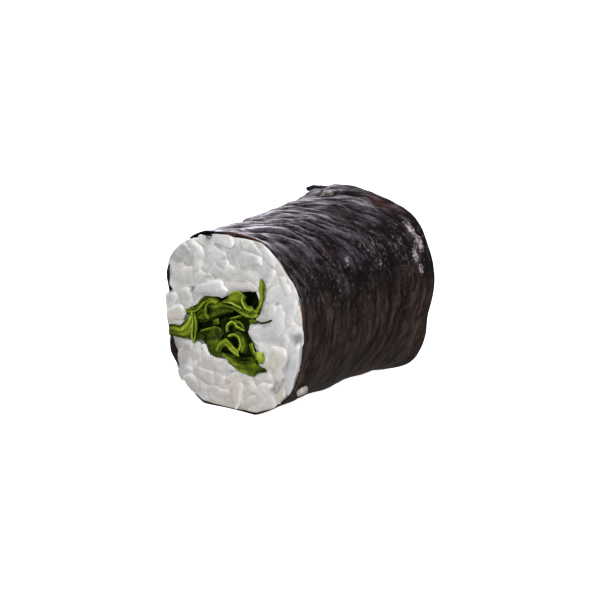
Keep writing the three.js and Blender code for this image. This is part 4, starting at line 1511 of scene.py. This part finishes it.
def pressed_grain(number, grains, t, random):
    """Points, faces, painted gap shade and painted edge light of a grain that shows, level with the cut and
    fitted to others.
    """
    grain = grains[number]
    outline, root = grain_outline(number, grains, t, random)
    edge_drop = random.uniform(*EDGE_DROPS)
    lifts = NOTED_LIFTS if grain.noted else FILLER_LIFTS
    lift = random.uniform(*lifts) + EDGE_LIFT * edge_drop + grain.lift
    tilt = random.uniform(-MOST_TILT, MOST_TILT, 2)
    shares = np.concatenate([TOP_SHARES, SIDE_SHARES])[:, None, None]
    places = root[None] + shares * (outline - root)[None]
    drops = np.concatenate([edge_drop * TOP_SHARES ** TOP_ROUNDNESS, edge_drop + SIDE_DROPS])[:, None]
    drops = drops * lerp(1.0, RIM_DROP, near_rim(places, t))
    cells = places / GRAIN_LUMP_LENGTH + GRAIN_LUMP_START
    lumps = GRAIN_LUMP * smooth_noise(number + GRAIN_LUMP_SEED, cells[..., 0], cells[..., 1])
    shaded_gap = gap_and_shade(places, t)
    out = crown(places, t) + lift + (places - root.mean(axis=0)) @ tilt - drops + lumps - GAP_SINK * shaded_gap
    flat = kept_under_nori(places.reshape(-1, 2), out.ravel(), t)
    points, faces = closed_pebble(cut_points(flat, out.ravel(), t).reshape(*out.shape, 3))
    edge_light = np.repeat([*TOP_SHARES, *np.ones(len(SIDE_SHARES))], OUTLINE_SIDES)
    return points, faces, shaded_gap.ravel(), edge_light


def cut_points(places, out, t):
    """Points for places on a cut that stand out of it, moved so that they show where they are noted."""
    outward = -1 if t == 0 else 1
    move = crown(places, t) * (1 - near_rim(places, t))
    height = np.maximum(axis_height(t) + places[:, 1] + SEEN_UP * move, GRAIN_FLOOR)
    return np.stack([places[:, 0] + SEEN_ACROSS * move, place_along(t) + outward * out, height], axis=-1)


def tones(light, warm, gaps):
    """What the finish needs for places of one grain: how light and how warm it is, and the painted shade of
    its gaps.
    """
    return np.stack([np.full(len(gaps), light), np.full(len(gaps), warm), gaps], axis=-1)


def grains_on_top(t, seed):
    """Points, faces, tones and painted edge light of the grains that show at a cut."""
    random = np.random.default_rng(seed + 1)
    wider, taller = cut_scale(t)
    noted = [
        g._replace(across=g.across * wider, up=g.up * taller, lift=g.lift * (1 - t)) for g in NOTED_GRAINS
    ]
    parts = []
    for layer in (spread_grains(t, seed), noted):
        for number, grain in enumerate(layer):
            points, faces, gaps, edge_light = pressed_grain(number, layer, t, random)
            warm = grain.warm + LOW_WARMTH * smoothstep(grain.up, *LOW_PLACES)
            # Grains at the right are whitened with painted light, and those at the top made greyer
            light = grain.light + RIGHT_PAINTED_LIGHT * smoothstep(grain.across, *RIGHT_PLACES)
            light = light - TOP_GREY * smoothstep(grain.up, *TOP_PLACES)
            parts.append((points, faces, tones(light, warm, gaps), edge_light))
    return parts


def grains_below(t, seed):
    """Points, faces, tones and painted edge light of the plain grains under them, which show in the gaps."""
    random = np.random.default_rng(seed)
    form, faces = grain_form()
    parts = []
    for grain in lower_grains(t, seed):
        places = on_cut(grain, form[:, 0] * grain.length / 2, form[:, 1] * grain.width / 2)
        out = form[:, 2] * grain.width / 2 - random.uniform(*BELOW_DEPTHS)
        places = pushed_off_leaves(kept_under_nori(places, out, t), t, BELOW_ROOM)
        points = cut_points(places, out, t)
        tone = tones(grain.light, grain.warm, gap_and_shade(places, t))
        parts.append((points, faces, tone, np.full(len(points), BELOW_EDGE)))
    return parts


def rice_core():
    """Points, faces, tones and painted edge light of a solid inside the nori, hollowed at both cuts behind
    the leaves.
    """
    angle = even_turns(CORE_SIDES)
    rings = [core_cap(angle, share, 0.0) for share in CORE_CAP_SHARES]
    for t in CORE_PLACES:
        rings.append(roll_points(angle, np.full(CORE_SIDES, t), -NORI_THICKNESS - CORE_INSET, CORE_FLOOR))
    rings += [core_cap(angle, share, 1.0) for share in CORE_CAP_SHARES[::-1]]
    points, faces = closed_tube(np.array(rings), rings[0].mean(axis=0), rings[-1].mean(axis=0))
    tone = tones(*CORE_TONE, np.zeros(len(points)))
    return points, faces, tone, np.ones(len(points))


def core_cap(angle, share, t):
    """A ring of the core's end at a cut."""
    reach = (roll_radius(angle, t) - NORI_THICKNESS - CORE_INSET) * share
    places = np.stack([reach * np.cos(angle), reach * np.sin(angle)], axis=-1)
    nearest, inside = nearest_on_outline(places, t)
    hollow = np.where(inside, smoothstep(np.linalg.norm(places - nearest, axis=1), 0.0, 0.5), 0)
    inward = 1 if t == 0 else -1
    along = place_along(t) + inward * (CORE_DEPTH + CORE_HOLLOW * hollow)
    return np.stack([places[:, 0], along, np.maximum(axis_height(t) + places[:, 1], CAP_FLOOR)], axis=-1)


def crumb():
    """Points, faces, tones and painted edge light of a broken grain stuck to the nori, low near the front
    cut.
    """
    form, faces = grain_form()
    cells = form * CRUMB_LUMPS + CRUMB_LUMP_START
    lumps = 1 + CRUMB_LUMP * smooth_noise(CRUMB_SEED, cells[:, 0], cells[:, 1] + form[:, 2])
    angle = math.radians(CRUMB_ANGLE)
    middle = roll_points(np.array(angle), np.array(CRUMB_PLACE), CRUMB_OUTSET, 0.0)
    out = np.array([math.cos(angle), 0, math.sin(angle)])
    round_way = np.array([-math.sin(angle), 0, math.cos(angle)])
    offsets = form * lumps[:, None] * np.array(CRUMB_SIZE) / 2
    points = middle + offsets[:, :1] * (0, 1, 0) + offsets[:, 1:2] * round_way + offsets[:, 2:] * out
    tone = tones(*CRUMB_TONE, np.full(len(points), CRUMB_SHADE))
    return points, faces, tone, np.zeros(len(points))


def make_rice():
    parts = [rice_core(), crumb()]
    for t, seed in CUT_SEEDS:
        parts += grains_on_top(t, seed) + grains_below(t, seed + 2)
    points, faces, values = gathered(parts, ("tone", "edge"))
    piece = make_piece("rice_grains", points, faces, rice_finish(), values)
    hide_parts("rice")


# Arugula

def smooth_line(places, count):
    """A smooth line through places, at even steps of its length."""
    places = np.asarray(places, float)
    step = np.linalg.norm(np.diff(places, axis=0), axis=1)
    along = np.concatenate([[0], np.cumsum(step)])
    slope = np.gradient(places, along, axis=0)
    at = np.linspace(0, along[-1], count)
    piece = np.clip(np.searchsorted(along, at, side="right") - 1, 0, len(step) - 1)
    width = step[piece][:, None]
    share = (at - along[piece])[:, None] / width
    start, end = places[piece], places[piece + 1]
    return (
        start * (1 + 2 * share) * (1 - share) ** 2
        + width * slope[piece] * share * (1 - share) ** 2
        + end * share ** 2 * (3 - 2 * share)
        + width * slope[piece + 1] * share ** 2 * (share - 1)
    )


def view_axes():
    """Which ways are right, up and ahead as the camera sees them, and where the camera is."""
    turn, rise = VIEW_AZIMUTH, VIEW_ELEVATION
    right = np.array([math.cos(turn), math.sin(turn), 0])
    ahead = np.array([-math.sin(turn) * math.cos(rise), math.cos(turn) * math.cos(rise), -math.sin(rise)])
    aim = right * VIEW_AIM_RIGHT + (0, 0, VIEW_AIM_HEIGHT)
    return right, np.cross(right, ahead), ahead, aim - ahead * VIEW_DISTANCE


def seen_at(pixels, deep, t):
    """Points of a cut that show at some pixels of the photograph; the back cut mirrors the front one."""
    right, up, ahead, camera = view_axes()
    spread = SENSOR_WIDTH / VIEW_LENS / PHOTO_SIZE
    across, down = (np.array(pixels, float) - PHOTO_SIZE / 2).T * spread
    ray = ahead + across[:, None] * right - down[:, None] * up
    points = camera + ((place_along(0) + deep - camera[1]) / ray[:, 1])[:, None] * ray
    if t == 1:
        wider, taller = cut_scale(t)
        points = (points - (0, 0, axis_height(0))) * (wider, -1, taller) + (0, 0, axis_height(1))
    return points


def curled(curl):
    """A curled leaf's lines: its lip, the lip's inner side, and lines down in its hollow, painted dark with
    shade.
    """
    lip = np.array(curl.lip)
    hollow = np.array(curl.hollow)
    inner = lerp(lip, hollow, curl.width)
    bottom = lerp(lip, hollow, CURL_REACH)
    return LeafFold(CURL_PLEATS, [
        LeafLine(curl.near, curl.bright, lip),
        LeafLine(curl.near + CURL_LIP_DEPTH, curl.bright * CURL_LIP_LIGHT, inner),
        LeafLine(lerp(curl.near, curl.far, CURL_WAY_DEPTH), 0.0, lerp(inner, bottom, CURL_WAY)),
        LeafLine(curl.far, CURL_DARK, bottom),
    ], True)


def spread_along(values, count):
    """One value or some, spread evenly along a line of many places."""
    values = np.atleast_1d(values)
    return np.interp(np.linspace(0, 1, count), np.linspace(0, 1, len(values)), values)


def leaf_grid(fold, t):
    """A grid of points through a fold's lines, how far along and over it they are, and the lines' gaps."""
    rails = [seen_at(line.places, spread_along(line.deep, len(line.places)), t) for line in fold.lines]
    longest = max(np.linalg.norm(np.diff(rail, axis=0), axis=1).sum() for rail in rails)
    columns = int(longest / LEAF_STEP) + 4
    rails = np.array([smooth_line(rail, columns) for rail in rails])
    gaps = np.linalg.norm(np.diff(rails, axis=0), axis=-1)
    width = gaps.sum(axis=0).max()
    rows = int(width / LEAF_STEP) + 2 * len(rails)
    grid = np.stack([smooth_line(rails[:, column], rows) for column in range(columns)], axis=1)
    along, over = np.meshgrid(np.linspace(0, longest, columns), np.linspace(0, width, rows))
    return grid, along, over, gaps


def leaf_sheet(fold, t, seed):
    """A closed wavy sheet through a fold's lines, with its tone and painted light and shade, and its own
    coordinates.
    """
    grid, along, over, gaps = leaf_grid(fold, t)
    normal = np.cross(np.gradient(grid, axis=0), np.gradient(grid, axis=1))
    normal /= np.maximum(np.linalg.norm(normal, axis=-1, keepdims=True), TINY)
    grid = grid + normal * leaf_waves(fold, along, over, seed)[..., None]
    from_edge = np.minimum.reduce([along, along.max() - along, over, over.max() - over])
    thickness = LEAF_THICKNESS * lerp(LEAF_EDGE_SHARE, 1.0, smoothstep(from_edge, 0, LEAF_EDGE))
    half = normal * (thickness / 2)[..., None]
    points, faces = closed_sheet(grid + half, grid - half)
    bright = leaf_light(fold, gaps, over).ravel()
    ways = (over, along) if fold.lengthwise else (along, over)
    blade = np.stack([*ways, np.full(over.shape, seed)], axis=-1).reshape(-1, 3)
    return points, faces, np.tile(bright, 2), np.tile(blade, (2, 1))


def leaf_noise(seed, along, over, lengths):
    return smooth_noise(seed, along / lengths[0], over / lengths[1])


def leaf_waves(fold, along, over, seed):
    """How far a leaf stands out of its sheet, in pleats, crinkles and a ruffled lip."""
    count, height = fold.pleats
    start = np.random.default_rng(seed).uniform(0, 6)
    share_over = over / over.max()
    travel = share_over if fold.lengthwise else along / along.max()
    bend = LEAF_BEND * leaf_noise(seed + LEAF_BEND_SEED, along, over, LEAF_BEND_LENGTHS)
    uneven = 1 + LEAF_UNEVEN * leaf_noise(seed + LEAF_UNEVEN_SEED, along, over, LEAF_UNEVEN_LENGTHS)
    pleats = height * np.sin(WHOLE_TURN * (count * travel + bend) + start)
    lift = pleats * uneven * lerp(LIP_PLEATS, 1.0, share_over)
    for spacing, rise, crinkle_seed in LEAF_CRINKLES:
        lift = lift + rise * leaf_noise(seed + crinkle_seed, along, over, (spacing, spacing))
    ruffle = smooth_noise(seed + LEAF_RUFFLE_SEED, along / LEAF_RUFFLE_LENGTH, over * 0 + 0.5)
    return lift + LEAF_RUFFLE * np.exp(-over / LEAF_RUFFLE_WIDTH) * ruffle


def leaf_light(fold, gaps, over):
    """How bright a leaf is from its first line to its last, its tone with painted light and shade, and a
    thin painted glow along its lip.
    """
    rows, columns = over.shape
    brights = np.array([spread_along(line.bright, columns) for line in fold.lines])
    light = np.empty(over.shape)
    for column in range(columns):
        places = np.concatenate([[0], np.cumsum(gaps[:, column])])
        light[:, column] = np.interp(np.linspace(0, places[-1], rows), places, brights[:, column])
    return light + LIP_GLOW * brights[0] * np.exp(-((over / LIP_WIDTH) ** 2))


def stalk(t):
    """A round leaf stalk along its line, with its brightness and its own coordinates."""
    line = smooth_line(seen_at(STALK_LINE, STALK_DEEP, t), STALK_STEPS)
    tangent = np.gradient(line, axis=0)
    tangent /= np.linalg.norm(tangent, axis=-1, keepdims=True)
    side = np.cross(tangent, (0, 1, 0))
    side /= np.linalg.norm(side, axis=-1, keepdims=True)
    other = np.cross(tangent, side)
    turn = even_turns(STALK_SIDES)[None, :, None]
    rings = line[:, None] + STALK_RADIUS * (np.cos(turn) * side[:, None] + np.sin(turn) * other[:, None])
    points, faces = closed_tube(rings, line[0] - STALK_TIP * tangent[0], line[-1] + STALK_TIP * tangent[-1])
    blade = np.stack([np.arange(len(points)) * STALK_STREAK, points[:, 0], points[:, 2]], axis=-1)
    return points, faces, np.full(len(points), STALK_LIGHT), blade


def leaf_core():
    """The packed leaves inside, painted dark with shade: a prism in the leaves' outline, stopping short of
    both cuts.
    """
    line = smooth_line([*BUNDLE_OUTLINE, BUNDLE_OUTLINE[0]], LEAF_CORE_SIDES + 1)[:-1]
    ends = LEAF_CORE_DEPTH / ROLL_LENGTH
    rings = []
    for t in np.linspace(ends, 1 - ends, LEAF_CORE_RINGS):
        across, up = kept_in_roll(line * cut_scale(t), t, LEAF_CORE_ROOM).T
        rings.append(np.stack([across, np.full(len(line), place_along(t)), axis_height(t) + up], axis=-1))
    points = np.concatenate(rings)
    index = np.arange(len(points)).reshape(len(rings), len(line))
    faces = [*ring_walls(index).tolist(), index[0][::-1].tolist(), index[-1].tolist()]
    blade = points[:, [1, 0, 2]]
    return points, faces, np.full(len(points), LEAF_CORE_LIGHT), blade


def make_arugula():
    folds = [*LEAF_FOLDS.values(), *map(curled, LEAF_CURLS.values())]
    parts = [leaf_core()]
    for t, first_seed in ((0.0, 0), (1.0, BACK_LEAF_SEED)):
        parts += [leaf_sheet(fold, t, first_seed + number) for number, fold in enumerate(folds)]
        parts.append(stalk(t))
    points, faces, values = gathered(parts, ("bright", "blade"))
    piece = make_piece("arugula_leaves", points, faces, leaf_finish(), values)
    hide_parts("arugula")


# The stage: a pale table, soft light from overhead, behind and in front, and the camera

def make_floor():
    mesh = bpy.data.meshes.new("table")
    corners = [(x * TABLE_HALF, y * TABLE_HALF, 0) for x, y in ((-1, -1), (1, -1), (1, 1), (-1, 1))]
    mesh.from_pydata(corners, [], [(0, 1, 2, 3)])
    mesh.materials.append(floor_finish())
    table = bpy.data.objects.new("table", mesh)
    table.location.z = -TABLE_DROP
    table.visible_diffuse = False
    table.visible_glossy = False
    bpy.context.scene.collection.objects.link(table)


def make_light(name, place, size, power, tint=(1.0, 1.0, 1.0)):
    lamp = bpy.data.lights.new(name, "AREA")
    lamp.color = tint
    lamp.size = size
    lamp.energy = power
    light = bpy.data.objects.new(name, lamp)
    light.location = place
    light.rotation_euler = (Vector(LIGHT_AIM) - Vector(place)).to_track_quat("-Z", "Y").to_euler()
    bpy.context.scene.collection.objects.link(light)


def make_world():
    world = bpy.data.worlds.new("studio")
    world.use_nodes = True
    sky = world.node_tree.nodes["Background"]
    sky.inputs["Color"].default_value = (1.0, 1.0, 1.0, 1.0)
    sky.inputs["Strength"].default_value = SKY_STRENGTH
    bpy.context.scene.world = world


def make_camera():
    ahead, place = view_axes()[2:]
    lens = bpy.data.cameras.new("camera")
    lens.lens = VIEW_LENS
    lens.sensor_width = SENSOR_WIDTH
    lens.clip_start = 0.01
    camera = bpy.data.objects.new("camera", lens)
    camera.location = Vector(place) * MM
    camera.rotation_euler = Vector(ahead).to_track_quat("-Z", "Y").to_euler()
    bpy.context.scene.collection.objects.link(camera)
    bpy.context.scene.camera = camera


make_camera()
make_world()
make_light("overhead", (0.10, -0.15, 0.60), 0.45, 2.2)
make_light("behind", (-0.42, 0.56, 0.20), 0.45, 4.0, (0.95, 0.89, 1.0))
make_light("front", (0.36, -0.68, 0.24), 0.6, 5.6)
make_floor()
make_nori()
make_rice()
make_arugula()
bpy.context.scene.view_settings.view_transform = "Standard"
